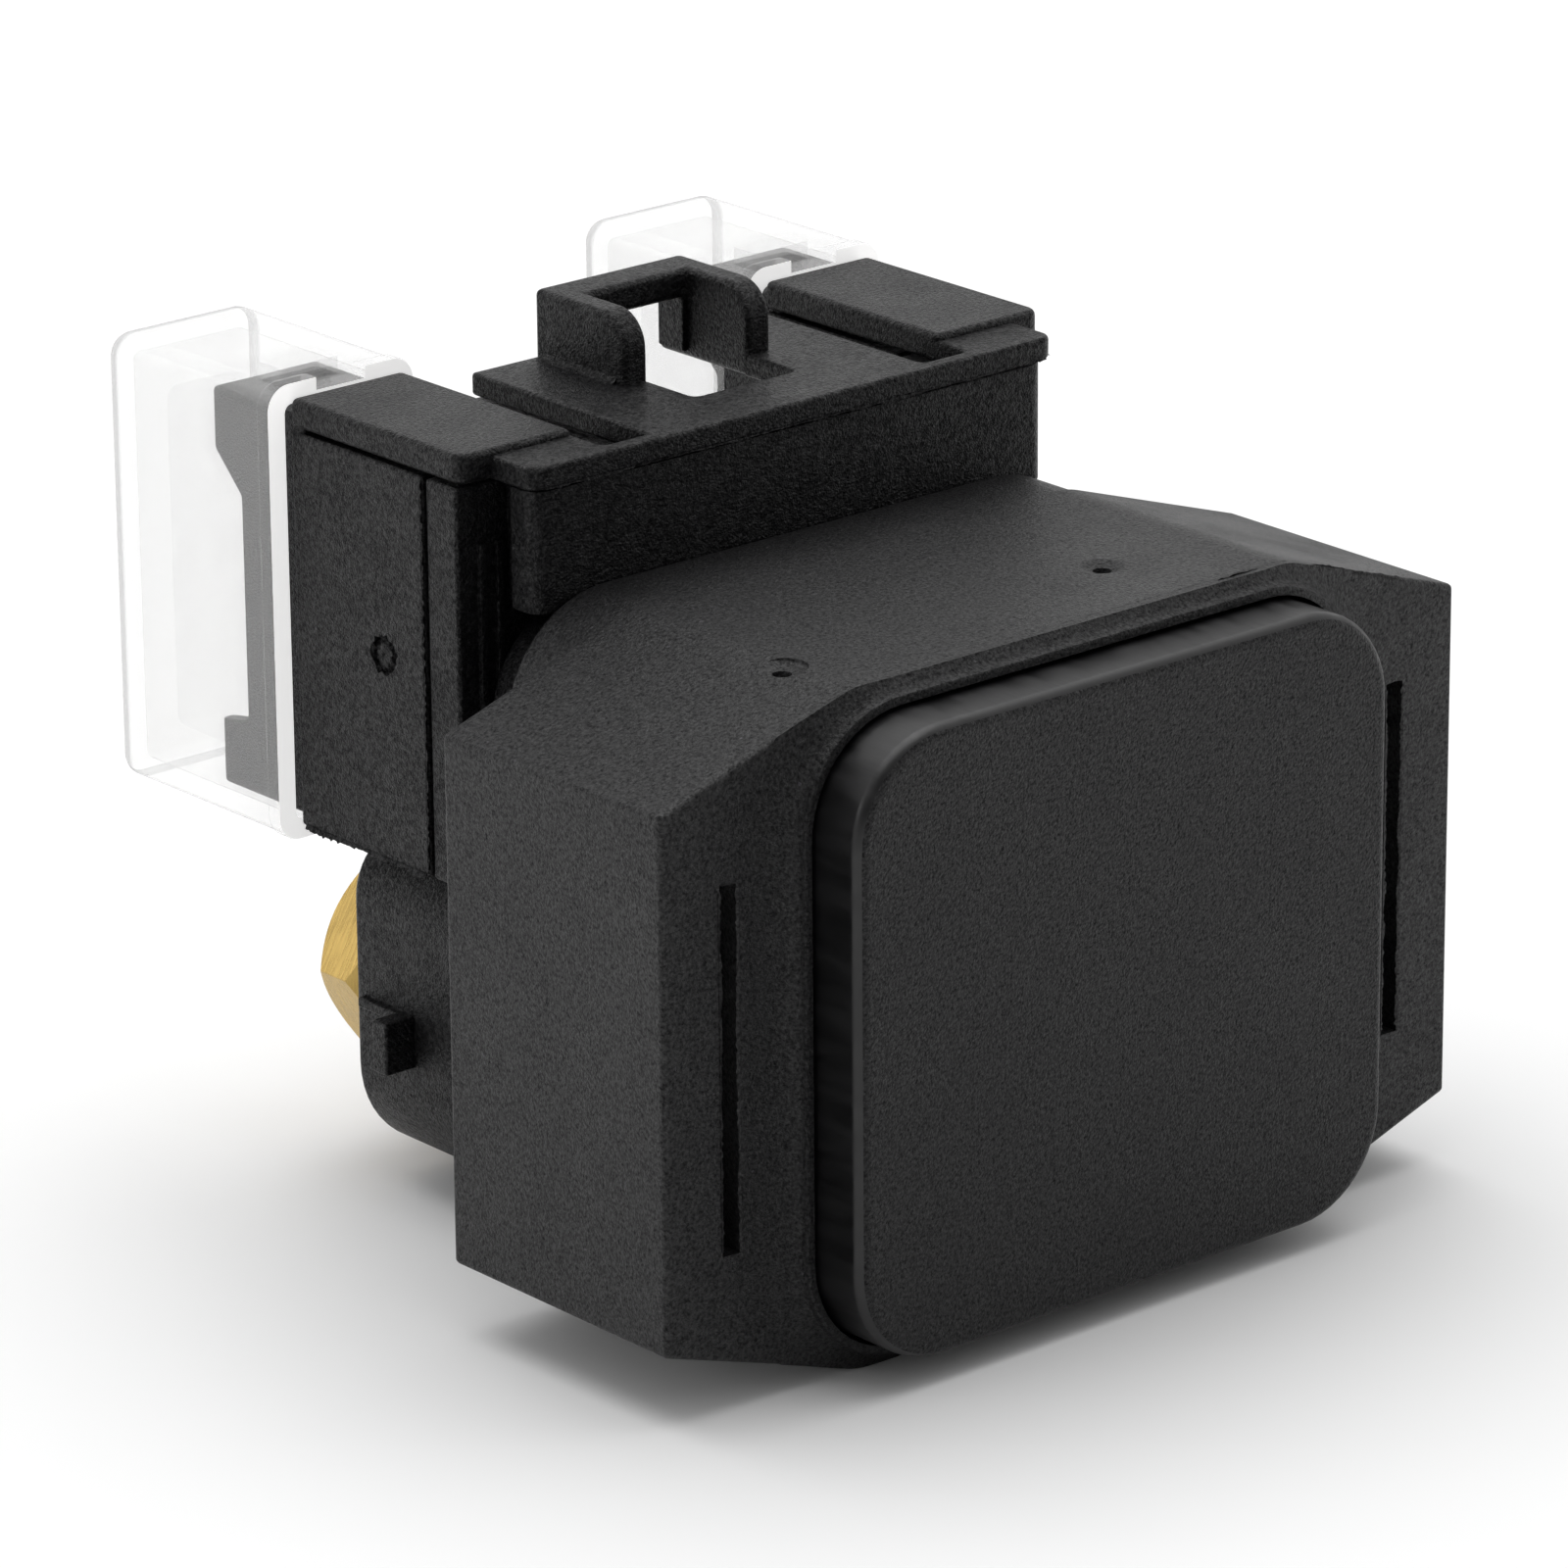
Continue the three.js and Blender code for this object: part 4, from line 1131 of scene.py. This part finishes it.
def build_fuse_holder(side, label, role):
    node = f"fuse_holder_{label}"
    edge = in_mm("moulded_edge")
    _, y, z = span(node)
    inner, outer = LID_INNER, HOLDER_OUTER
    body_top = span("connector_housing")[2][1]
    centre = middle(span(f"{role}_fuse_body")[0])
    holder = added(
        eased(block(side_span(side, (inner, outer)), (y[0], SHOULDER), (z[0], body_top)), edge),
        eased(block(side_span(side, NECK), (SHOULDER - 1, y[1]), (NECK_BOTTOM, z[1] - 0.25)), edge * 1.3),
        eased(block(grown((centre, centre), 1.6), (41.1, 42.4), (z[1] - 0.8, z[1])), 0.12, 2),
    )
    notch = filleted([
        (NOTCH_FRONT, NOTCH[0], 0.5),
        (y[1] + 1, NOTCH[0] - 0.6, 0),
        (y[1] + 1, NOTCH[1] + NOTCH_CHAMFER + 1, 0),
        (NOTCH_FRONT + NOTCH_CHAMFER + 1, NOTCH[1] + NOTCH_CHAMFER + 1, 0),
        (NOTCH_FRONT, NOTCH[1], 0.4),
    ])
    fuse_x, _, fuse_z = span(f"{role}_fuse_body")
    seat = grown(fuse_x, 0.15)
    cutters = [
        block(seat, (SHOULDER + 0.1, y[1] + 1), grown(fuse_z, 0.2)),
        *[block(seat, (y[0] + 1.3, SHOULDER + 1), pocket) for pocket in fuse_pockets(f"{role}_fuse_body")],
        prism(notch, "X", side_span(side, grown(NECK, 1))),
    ]
    if side < 0:
        cutters.append(strap_opening((z[0] - 1, fuse_pockets(f"{role}_fuse_body")[0][0] + 1)))
        cutters.append(sprue_pit(-outer, 30.6, 13.2, 91))
    holder = cut(holder, *cutters)
    reach = in_mm("flash")
    x = side * outer
    front, bottom = y[0] + 0.03, z[0] + 0.03
    upright = [(x, front, z[0] + 0.4), (x, front, body_top - 0.3)]
    level = [(x, y[0] + 0.3, bottom), (x, SHOULDER - 0.4, bottom)]
    fins = [
        flash_fin(upright, (side, -1.2, 0), reach * 0.45, 81 + side),
        flash_fin(level, (side, 0, -1.4), reach * 1.1, 85 + side),
    ]
    place(joined(holder, *fins), node)


def build_fuse_cover(label):
    """A five-walled box with a thicker collar round its mouth and a window over the holder's catch."""
    node = f"fuse_cover_{label}"
    x, y, z = span(node)
    rim, rim_depth, wall = 0.3, 1, 1
    body_x, body_z = grown(x, -rim), grown(z, -rim)
    shell = eased(prism(rounded(body_x, body_z, 1.3, 10), "Y", (y[0] - 2, y[1])), in_mm("cover_edge"), 5)
    shell = common(shell, block(grown(x, 2), (y[0] + 0.02, y[1] + 1), grown(z, 2)))
    collar_outline = rounded(grown(x, -0.2), grown(z, -0.2), 1.4, 10)
    collar = eased(prism(collar_outline, "Y", (y[0], y[0] + rim_depth)), 0.09, 2)
    inside_outline = rounded(grown(body_x, -wall), grown(body_z, -wall), 0.5, 6)
    inside = eased(prism(inside_outline, "Y", (y[0] - 3, y[1] - wall)), 0.3, 3)
    centre = (middle(x), middle(x))
    roof = body_z[1]
    window = eased(block(grown(centre, 1.9), WINDOW_OVER_CATCH, (roof - wall - 0.6, roof + 1)), 0.15, 2)
    gap = block(grown(centre, 1.6), (y[0] - 1, y[0] + 1.3), (roof - wall + 0.4, roof + 2))
    cover = place(cut(added(shell, collar), inside, window, gap), node)
    # the rim's front faces get the rim finish, whose emission is a painted glow
    cover.data.materials.append(finished("frosted_rim_glow"))
    # faces along the sides get the side finish, with its painted grey shade where the closed end's wall is
    # seen on edge
    cover.data.materials.append(finished("frosted_side"))
    for face in cover.data.polygons:
        on_rim = face.center.y < (DATUM.y + y[0] + 0.1) * MM
        if on_rim and face.normal.y < -0.7:
            face.material_index = 1
        elif abs(face.normal.y) < 0.6:
            face.material_index = 2


def build_fuse(role):
    """A blade fuse: a clear body with a shouldered top, over a stamped element."""
    node = f"{role}_fuse_body"
    x, y, z = span(node)
    centre, height = middle(x), middle(z)
    trunk = eased(prism(rounded(grown(x, -0.45), grown(z, -1.2), 0.7), "Y", y), 0.25)
    head = eased(prism(rounded(x, z, 0.8), "Y", (y[1] - 4.2, y[1])), 0.35)
    foot = eased(prism(rounded(x, z, 0.8), "Y", (y[0], y[0] + 2.2)), 0.3)
    element = f"{role}_fuse_element"
    ex, ey, ez = span(element)
    slot = block(grown((centre, centre), 0.53), (y[0] - 1, ey[1] + 0.3), grown((height, height), 7.5))
    place(cut(added(trunk, head, foot), slot), node)
    inner = 2
    blades = []
    for way in (-1, 1):
        near, far = height + way * inner, (ez[1] if way > 0 else ez[0])
        outline = filleted([
            (ey[0], near + way * 1.2, 0.3),
            (ey[0] + 0.8, near, 0.3),
            (ey[1], near, 0),
            (ey[1], far, 0.4),
            (ey[0] + 0.8, far, 0.3),
            (ey[0], far - way * 1.2, 0.3),
        ], 4)
        blades.append(eased(prism(outline, "X", ex), 0.08, 2))
    link_half, steps = 2.4, 12
    bow = [
        (centre, ey[1] - 0.6 - 0.5 * math.sin(math.pi * i / steps), height + link_half * (2 * i / steps - 1))
        for i in range(steps + 1)
    ]
    link = swept(bow, [(a * 0.3, b * 0.3) for a, b in circle(1, sides=8)])
    place(added(blades[0], blades[1], link), element)


# ---------------------------------------------------------------- terminals, bolts, washers and tabs

def threaded(radius, ends, x, z, sides=48, rows_per_turn=10):
    """A right-hand thread cut on a rod along Y, with plain ends."""
    pitch = in_mm("thread_pitch")
    depth = pitch * 0.5
    count = round((ends[1] - ends[0]) / pitch * rows_per_turn)
    rings = [[(x + a, ends[0], z + b) for a, b in circle(radius - depth - 0.1, sides=sides)]]
    for row in range(count + 1):
        y = ends[0] + 0.05 + (ends[1] - ends[0] - 0.05) * row / count
        fade = min(1, row / rows_per_turn)
        ring = []
        for i in range(sides):
            turn = i / sides
            phase = (y / pitch + turn) % 1
            groove = min(1, 1.25 * abs(2 * phase - 1))
            reach = radius - depth * (1 - groove) - 0.35 * (1 - fade) * groove
            angle = 2 * math.pi * turn
            ring.append((x + reach * math.cos(angle), y, z + reach * math.sin(angle)))
        rings.append(ring)
    return loft(rings)


def build_bolt(label):
    node = f"terminal_bolt_{label}"
    x, y, _ = span(node)
    centre = middle(x)
    head_front = y[1] - BOLT_HEAD_HEIGHT
    corner = (x[1] - x[0]) / 2
    flats = corner * math.sqrt(3)
    hexagon = circle(corner, (centre, TERMINAL_Z), 6)
    blank = turned([
        (0, head_front),
        (flats / 2 - 0.1, head_front),
        (corner + 0.1, head_front + 0.9),
        (corner + 0.1, y[1] - 1.2),
        (flats / 2 - 0.35, y[1]),
        (flats / 2 - 1.5, y[1]),
        (flats / 2 - 1.75, y[1] - 0.18),
        (0, y[1] - 0.18),
    ], centre, TERMINAL_Z)
    head = common(eased(prism(hexagon, "Y", (head_front, y[1])), 0.08, 2), blank)
    shank = threaded(2.88, (y[0], head_front - 0.5), centre, TERMINAL_Z)
    neck = turned([
        (0, head_front - 0.7),
        (2.5, head_front - 0.7),
        (2.5, head_front - 0.3),
        (2.8, head_front + 0.2),
        (0, head_front + 0.2),
    ], centre, TERMINAL_Z)
    place(joined(head, shank, neck), node)


def build_lock_washer(label):
    """A spring washer, split and set by a tenth of a millimetre."""
    node = f"lock_washer_{label}"
    x, y, _ = span(node)
    centre = middle(x)
    inner, outer = 3.1, (x[1] - x[0]) / 2
    section = rounded((inner, outer), grown(y, -0.05), 0.12, 3)
    gap = 0.06
    steps = 60
    rings = []
    for i in range(steps + 1):
        share = i / steps
        angle = math.pi / 2 + gap + (2 * math.pi - 2 * gap) * share
        lift = 0.08 * (share - 0.5)
        across, up = math.cos(angle), math.sin(angle)
        rings.append([(centre + r * across, level + lift, TERMINAL_Z + r * up) for r, level in section])
    place(loft(rings), node)


def build_terminal(label):
    node = f"contact_terminal_{label}"
    x, y, _ = span(node)
    centre = middle(x)
    rim = (x[1] - x[0]) / 2
    neck, body, bore, floor = y[0] + 1.3, 4.2, 2.95, 31
    profile = [
        (0, y[0]), (rim - 0.5, y[0]), (rim - 0.15, y[0] + 0.15), (rim, y[0] + 0.5), (rim, neck - 0.1),
        (rim - 0.1, neck), (body, neck), (body, y[1] - 0.15), (body - 0.15, y[1]), (bore + 0.25, y[1]),
        (bore, y[1] - 0.25), (bore, floor + 0.3), (bore - 0.3, floor), (0, floor - 0.1),
    ]
    place(turned(profile, centre, TERMINAL_Z, 72), node)


def build_pin(number):
    node = f"connector_pin_{number}"
    x, y, z = span(node)
    outline = filleted([
        (x[0], y[0], 0), (x[1], y[0], 0), (x[1], y[1] - 1.2, 0.6), (x[1] - 0.6, y[1], 0.25),
        (x[0] + 0.6, y[1], 0.25), (x[0], y[1] - 1.2, 0.6),
    ], 4)
    centre, level = middle(x), middle(z)
    tab = eased(prism(outline, "Z", z), 0.14, 3)
    eye = prism(circle(0.35, (centre, y[1] - 2.6), 16), "Z", (level - 1, level + 1))
    place(cut(tab, eye), node)


# ---------------------------------------------------------------- solenoid

def helix(radius, ends, turns, steps_per_turn, z=COIL_Z, closed_share=0.12):
    """Points of a coil spring along Y, with its end turns pressed together."""
    points = []
    count = round(turns * steps_per_turn)
    for i in range(count + 1):
        share = i / count
        rise = (share - closed_share) / (1 - 2 * closed_share)
        level = ends[0] + (ends[1] - ends[0]) * min(1, max(0, rise))
        angle = 2 * math.pi * turns * share
        points.append((radius * math.cos(angle), level, z + radius * math.sin(angle)))
    return points


def build_spring(node, turns, wire):
    """A coil spring swept along a helix, on a mesh of its own."""
    x, y, _ = span(node)
    radius = (x[1] - x[0]) / 2 - wire
    path = helix(radius, grown(y, -wire), turns, 36)
    spring = place(swept(path, [(a * wire, b * wire) for a, b in circle(1, sides=12)]), node)
    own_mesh(spring)


def build_bobbin():
    x, y, _ = span("coil_bobbin")
    flange, tube, bore, thick = (x[1] - x[0]) / 2, 5.9, 5.1, 1.15
    profile = [
        (bore + 0.2, y[0]), (flange - 0.2, y[0]), (flange, y[0] + 0.2), (flange, y[0] + thick - 0.15),
        (flange - 0.15, y[0] + thick), (tube + 0.2, y[0] + thick), (tube, y[0] + thick + 0.2),
        (tube, y[1] - thick - 0.2), (tube + 0.2, y[1] - thick), (flange - 0.15, y[1] - thick),
        (flange, y[1] - thick + 0.15), (flange, y[1] - 0.2), (flange - 0.2, y[1]), (bore + 0.2, y[1]),
        (bore, y[1] - 0.2), (bore, y[0] + 0.2),
    ]
    place(turned(profile, 0, COIL_Z, 72), "coil_bobbin")


def build_winding():
    """The outer layer of the coil's wire, turn beside turn, over its inner layers."""
    x, y, _ = span("coil_winding")
    outer, inner, wire = (x[1] - x[0]) / 2, 6.1, 0.42
    turns = int((y[1] - y[0]) / wire)
    profile = [(inner, y[0]), (outer - wire / 2, y[0])]
    for turn in range(turns):
        start = y[0] + (y[1] - y[0]) * turn / turns
        for share in (0.15, 0.35, 0.5, 0.65, 0.85, 1.0):
            bulge = math.sin(math.pi * share)
            profile.append((outer - wire / 2 * (1 - bulge), start + (y[1] - y[0]) / turns * share))
    profile.append((inner, y[1]))
    place(turned(profile, 0, COIL_Z, 72), "coil_winding")


def build_core():
    x, y, _ = span("fixed_core")
    radius, stem, bore, step = (x[1] - x[0]) / 2, 3.3, 1.8, y[1] - 2.2
    profile = [
        (bore + 0.15, y[0]), (radius - 0.25, y[0]), (radius, y[0] + 0.25), (radius, step), (stem, step),
        (stem, y[1] - 0.2), (stem - 0.2, y[1]), (bore + 0.15, y[1]), (bore, y[1] - 0.15),
        (bore, y[0] + 0.15),
    ]
    place(turned(profile, 0, COIL_Z), "fixed_core")


def build_plunger():
    x, y, _ = span("plunger")
    radius = (x[1] - x[0]) / 2
    seat = span("plunger_rod")[1][0] - 0.2
    profile = [
        (0, y[0]), (radius - 0.45, y[0]), (radius - 0.1, y[0] + 0.12), (radius, y[0] + 0.45),
        (radius, y[0] + 2.2), (radius - 0.25, y[0] + 2.4), (radius - 0.25, y[0] + 3.0), (radius, y[0] + 3.2),
        (radius, y[1] - 0.25), (radius - 0.25, y[1]), (1.6, y[1]), (1.6, seat), (0, seat),
    ]
    place(turned(profile, 0, COIL_Z), "plunger")


def build_rod():
    _, y, _ = span("plunger_rod")
    r, collar, seat = 1.4, (22.1, 22.7), (27.9, 28.5)
    profile = [
        (0, y[0]), (r - 0.2, y[0]), (r, y[0] + 0.2),
        (r, collar[0]), (2.7, collar[0]), (2.8, collar[0] + 0.1),
        (2.8, collar[1] - 0.1), (2.7, collar[1]), (r, collar[1]),
        (r, seat[0]), (2.3, seat[0]), (2.4, seat[0] + 0.1),
        (2.4, seat[1] - 0.1), (2.3, seat[1]), (r, seat[1]),
        (r, y[1] - 0.4), (r - 0.4, y[1]), (0, y[1]),
    ]
    place(turned(profile, 0, COIL_Z), "plunger_rod")


def build_lead(number):
    """A coil end that rises from the winding to its tab."""
    node = f"coil_lead_{number}"
    x, y, z = span(node)
    side = 1 if middle(x) > 0 else -1
    near, far = (x[0], x[1]) if side > 0 else (x[1], x[0])
    wire = 0.28
    path = []
    for i in range(25):
        share = i / 24
        ease = share * share * (3 - 2 * share)
        path.append((
            near + side * wire + (far - near - 2 * side * wire) * ease,
            y[0] + 0.02 + (y[1] - y[0] - 0.04) * share,
            middle(z) + 0.12 * math.sin(math.pi * share),
        ))
    place(swept(path, [(a * wire, b * wire) for a, b in circle(1, sides=12)]), node)


# ---------------------------------------------------------------- stage

FLOOR_HALF = 3.0  # metres, as are the other sizes and places of the stage
FLOOR_DROP = 0.00002
OVERHEAD_PLACE = (0.05, 0.15, 0.9)
SIDE_PLACE = (-0.9, 0.5, 0.3)
CAMERA_SIDE_SHARE = 0.2  # how bright the surroundings are on the camera's side


def build_floor():
    """A pale sheet under the relay that runs out of sight."""
    bm = bmesh.new()
    bmesh.ops.create_grid(bm, x_segments=8, y_segments=8, size=FLOOR_HALF)
    bmesh.ops.translate(bm, verts=bm.verts, vec=(0, 0, cad_low.z - FLOOR_DROP))
    mesh = bpy.data.meshes.new("studio_floor")
    bm.to_mesh(mesh)
    bm.free()
    floor = bpy.data.objects.new("studio_floor", mesh)
    bpy.context.scene.collection.objects.link(floor)
    tone = tuple(bpy.context.scene.relay_studio.floor)
    surface = Surface("studio_floor", Roughness=0.8, Specular_IOR_Level=0.1)
    mottle = surface.noise(0.5, detail=1)
    surface.paint(surface.blend(surface.mapped(mottle, 0.3, 0.7), tone, tinted(tone, 1.01)))
    mesh.materials.append(surface.material)


def add_lamp(name, place_at, aim, size, power):
    lamp = bpy.data.lights.new(name, "AREA")
    lamp.shape = "RECTANGLE"
    lamp.size, lamp.size_y = size
    lamp.energy = power
    holder = bpy.data.objects.new(name, lamp)
    holder.location = place_at
    holder.rotation_euler = (Vector(aim) - Vector(place_at)).to_track_quat("-Z", "Y").to_euler()
    bpy.context.scene.collection.objects.link(holder)


def build_surroundings():
    """White surroundings that darken toward the camera's side, as a room does in front of a white wall."""
    studio = bpy.context.scene.relay_studio
    world = bpy.data.worlds.new("white_surroundings")
    world.use_nodes = True
    tree = world.node_tree
    background = tree.nodes["Background"]
    background.inputs["Color"].default_value = (1, 1, 1, 1)
    toward_camera = tree.nodes.new("ShaderNodeVectorMath")
    toward_camera.operation = "DOT_PRODUCT"
    toward_camera.inputs[1].default_value = (math.sin(studio.azimuth), -math.cos(studio.azimuth), 0)
    fade = tree.nodes.new("ShaderNodeMapRange")
    fade.inputs["From Min"].default_value = -0.3
    fade.inputs["From Max"].default_value = 0.9
    fade.inputs["To Min"].default_value = studio.sky
    fade.inputs["To Max"].default_value = studio.sky * CAMERA_SIDE_SHARE
    direction = tree.nodes.new("ShaderNodeTexCoord").outputs["Generated"]
    tree.links.new(direction, toward_camera.inputs[0])
    tree.links.new(toward_camera.outputs["Value"], fade.inputs["Value"])
    tree.links.new(fade.outputs["Result"], background.inputs["Strength"])
    bpy.context.scene.world = world


def build_lights():
    studio = bpy.context.scene.relay_studio
    centre = (cad_low + cad_high) / 2
    add_lamp("overhead_light", OVERHEAD_PLACE, centre, (1.0, 1.0), studio.overhead)
    add_lamp("side_light", SIDE_PLACE, centre, (0.7, 0.5), studio.side)
    bpy.context.scene.view_settings.view_transform = "Standard"


def build_camera():
    studio = bpy.context.scene.relay_studio
    turn, rise, roll = studio.azimuth, studio.elevation, studio.roll
    back = Vector((math.sin(turn) * math.cos(rise), -math.cos(turn) * math.cos(rise), math.sin(rise)))
    right = (-back).cross(Vector((0, 0, 1))).normalized()
    up = right.cross(-back)
    tilted_right = right * math.cos(roll) + up * math.sin(roll)
    tilted_up = up * math.cos(roll) - right * math.sin(roll)
    camera = bpy.data.objects.new("camera", bpy.data.cameras.new("camera"))
    camera.matrix_world = Matrix.Translation(Vector(studio.aim) + back * studio.distance) @ Matrix(
        (tilted_right, tilted_up, back)
    ).transposed().to_4x4()
    camera.data.lens = studio.lens
    camera.data.sensor_width = 36
    camera.data.clip_start = 0.01
    camera.data.clip_end = 20
    bpy.context.scene.collection.objects.link(camera)
    bpy.context.scene.camera = camera


# ---------------------------------------------------------------- operators

class RelayOperator:
    """What every operator of the relay shares."""

    bl_options = {"REGISTER", "UNDO"}

    def execute(self, context):
        self.build()
        return {"FINISHED"}


class RELAY_OT_damper(RelayOperator, bpy.types.Operator):
    """Build the rubber damper with its ears, slots and lip"""

    bl_idname = "relay.damper"
    bl_label = "Rubber Damper"

    def build(self):
        build_damper()
        for node in ("case_seal", "terminal_seal_battery", "terminal_seal_motor"):
            keep(node, 0.1)


class RELAY_OT_case(RelayOperator, bpy.types.Operator):
    """Build the solenoid's case"""

    bl_idname = "relay.case"
    bl_label = "Solenoid Case"

    def build(self):
        build_case()


class RELAY_OT_terminal_base(RelayOperator, bpy.types.Operator):
    """Build the terminal base behind the case"""

    bl_idname = "relay.terminal_base"
    bl_label = "Terminal Base"

    def build(self):
        build_terminal_base()


class RELAY_OT_housing(RelayOperator, bpy.types.Operator):
    """Build the plug socket's housing"""

    bl_idname = "relay.housing"
    bl_label = "Socket Housing"

    def build(self):
        build_housing()


class RELAY_OT_cap(RelayOperator, bpy.types.Operator):
    """Build the top cap with its lids and latch bridge"""

    bl_idname = "relay.cap"
    bl_label = "Top Cap"

    def build(self):
        build_cap()


class RELAY_OT_fuse_holders(RelayOperator, bpy.types.Operator):
    """Build the two fuse holders, their fuses and their clips"""

    bl_idname = "relay.fuse_holders"
    bl_label = "Fuse Holders and Fuses"

    def build(self):
        for side, label, role in ((-1, "left", "main"), (1, "right", "spare")):
            build_fuse_holder(side, label, role)
            build_fuse(role)
        for node in ("fuse_clip_1", "fuse_clip_2", "fuse_strap"):
            keep(node, in_mm("metal_edge"))


class RELAY_OT_fuse_covers(RelayOperator, bpy.types.Operator):
    """Build the two translucent fuse covers"""

    bl_idname = "relay.fuse_covers"
    bl_label = "Fuse Covers"

    def build(self):
        for label in ("left", "right"):
            build_fuse_cover(label)


class RELAY_OT_terminals(RelayOperator, bpy.types.Operator):
    """Build the terminals with their bolts and lock washers"""

    bl_idname = "relay.terminals"
    bl_label = "Terminals and Bolts"

    def build(self):
        for label in ("battery", "motor"):
            build_terminal(label)
            build_bolt(label)
            build_lock_washer(label)


class RELAY_OT_pins(RelayOperator, bpy.types.Operator):
    """Build the socket's tabs and the coil leads behind them"""

    bl_idname = "relay.pins"
    bl_label = "Socket Tabs and Coil Leads"

    def build(self):
        for number in range(1, 5):
            build_pin(number)
        for number in (1, 2):
            build_lead(number)


class RELAY_OT_solenoid(RelayOperator, bpy.types.Operator):
    """Build the coil, yoke, core, plunger and contact plate"""

    bl_idname = "relay.solenoid"
    bl_label = "Solenoid"

    def build(self):
        build_bobbin()
        build_winding()
        build_core()
        build_plunger()
        build_rod()
        build_spring("contact_spring", 4, 0.2)
        build_spring("return_spring", 6, 0.2)
        for node in ("yoke_frame", "yoke_end_plate", "contact_bridge", "retaining_clip"):
            keep(node, in_mm("metal_edge"))


class RELAY_OT_stage(RelayOperator, bpy.types.Operator):
    """Build the floor, the lights and the camera"""

    bl_idname = "relay.stage"
    bl_label = "Stage"

    def build(self):
        build_floor()
        build_surroundings()
        build_lights()
        build_camera()


OPERATORS = (
    RELAY_OT_damper,
    RELAY_OT_case,
    RELAY_OT_terminal_base,
    RELAY_OT_housing,
    RELAY_OT_cap,
    RELAY_OT_fuse_holders,
    RELAY_OT_fuse_covers,
    RELAY_OT_terminals,
    RELAY_OT_pins,
    RELAY_OT_solenoid,
    RELAY_OT_stage,
)
SETTINGS = {"relay_sizes": RelaySizes, "relay_colours": RelayColours, "relay_studio": RelayStudio}


class RELAY_PT_panel(bpy.types.Panel):
    """Lists the relay's pieces and settings"""

    bl_idname = "RELAY_PT_panel"
    bl_label = "Starter Relay"
    bl_space_type = "VIEW_3D"
    bl_region_type = "UI"
    bl_category = "Starter Relay"

    def draw(self, context):
        for operator in OPERATORS:
            self.layout.operator(operator.bl_idname)
        for name, group in SETTINGS.items():
            box = self.layout.box()
            for setting in group.__annotations__:
                box.prop(getattr(context.scene, name), setting)


CLASSES = (*SETTINGS.values(), *OPERATORS, RELAY_PT_panel)


def register():
    for made in CLASSES:
        bpy.utils.register_class(made)
    for name, group in SETTINGS.items():
        setattr(bpy.types.Scene, name, PointerProperty(type=group))


def unregister():
    for name in SETTINGS:
        delattr(bpy.types.Scene, name)
    for made in reversed(CLASSES):
        bpy.utils.unregister_class(made)


def main():
    register()
    for operator in OPERATORS:
        group, name = operator.bl_idname.split(".")
        getattr(getattr(bpy.ops, group), name)()


if __name__ == "__main__":
    main()
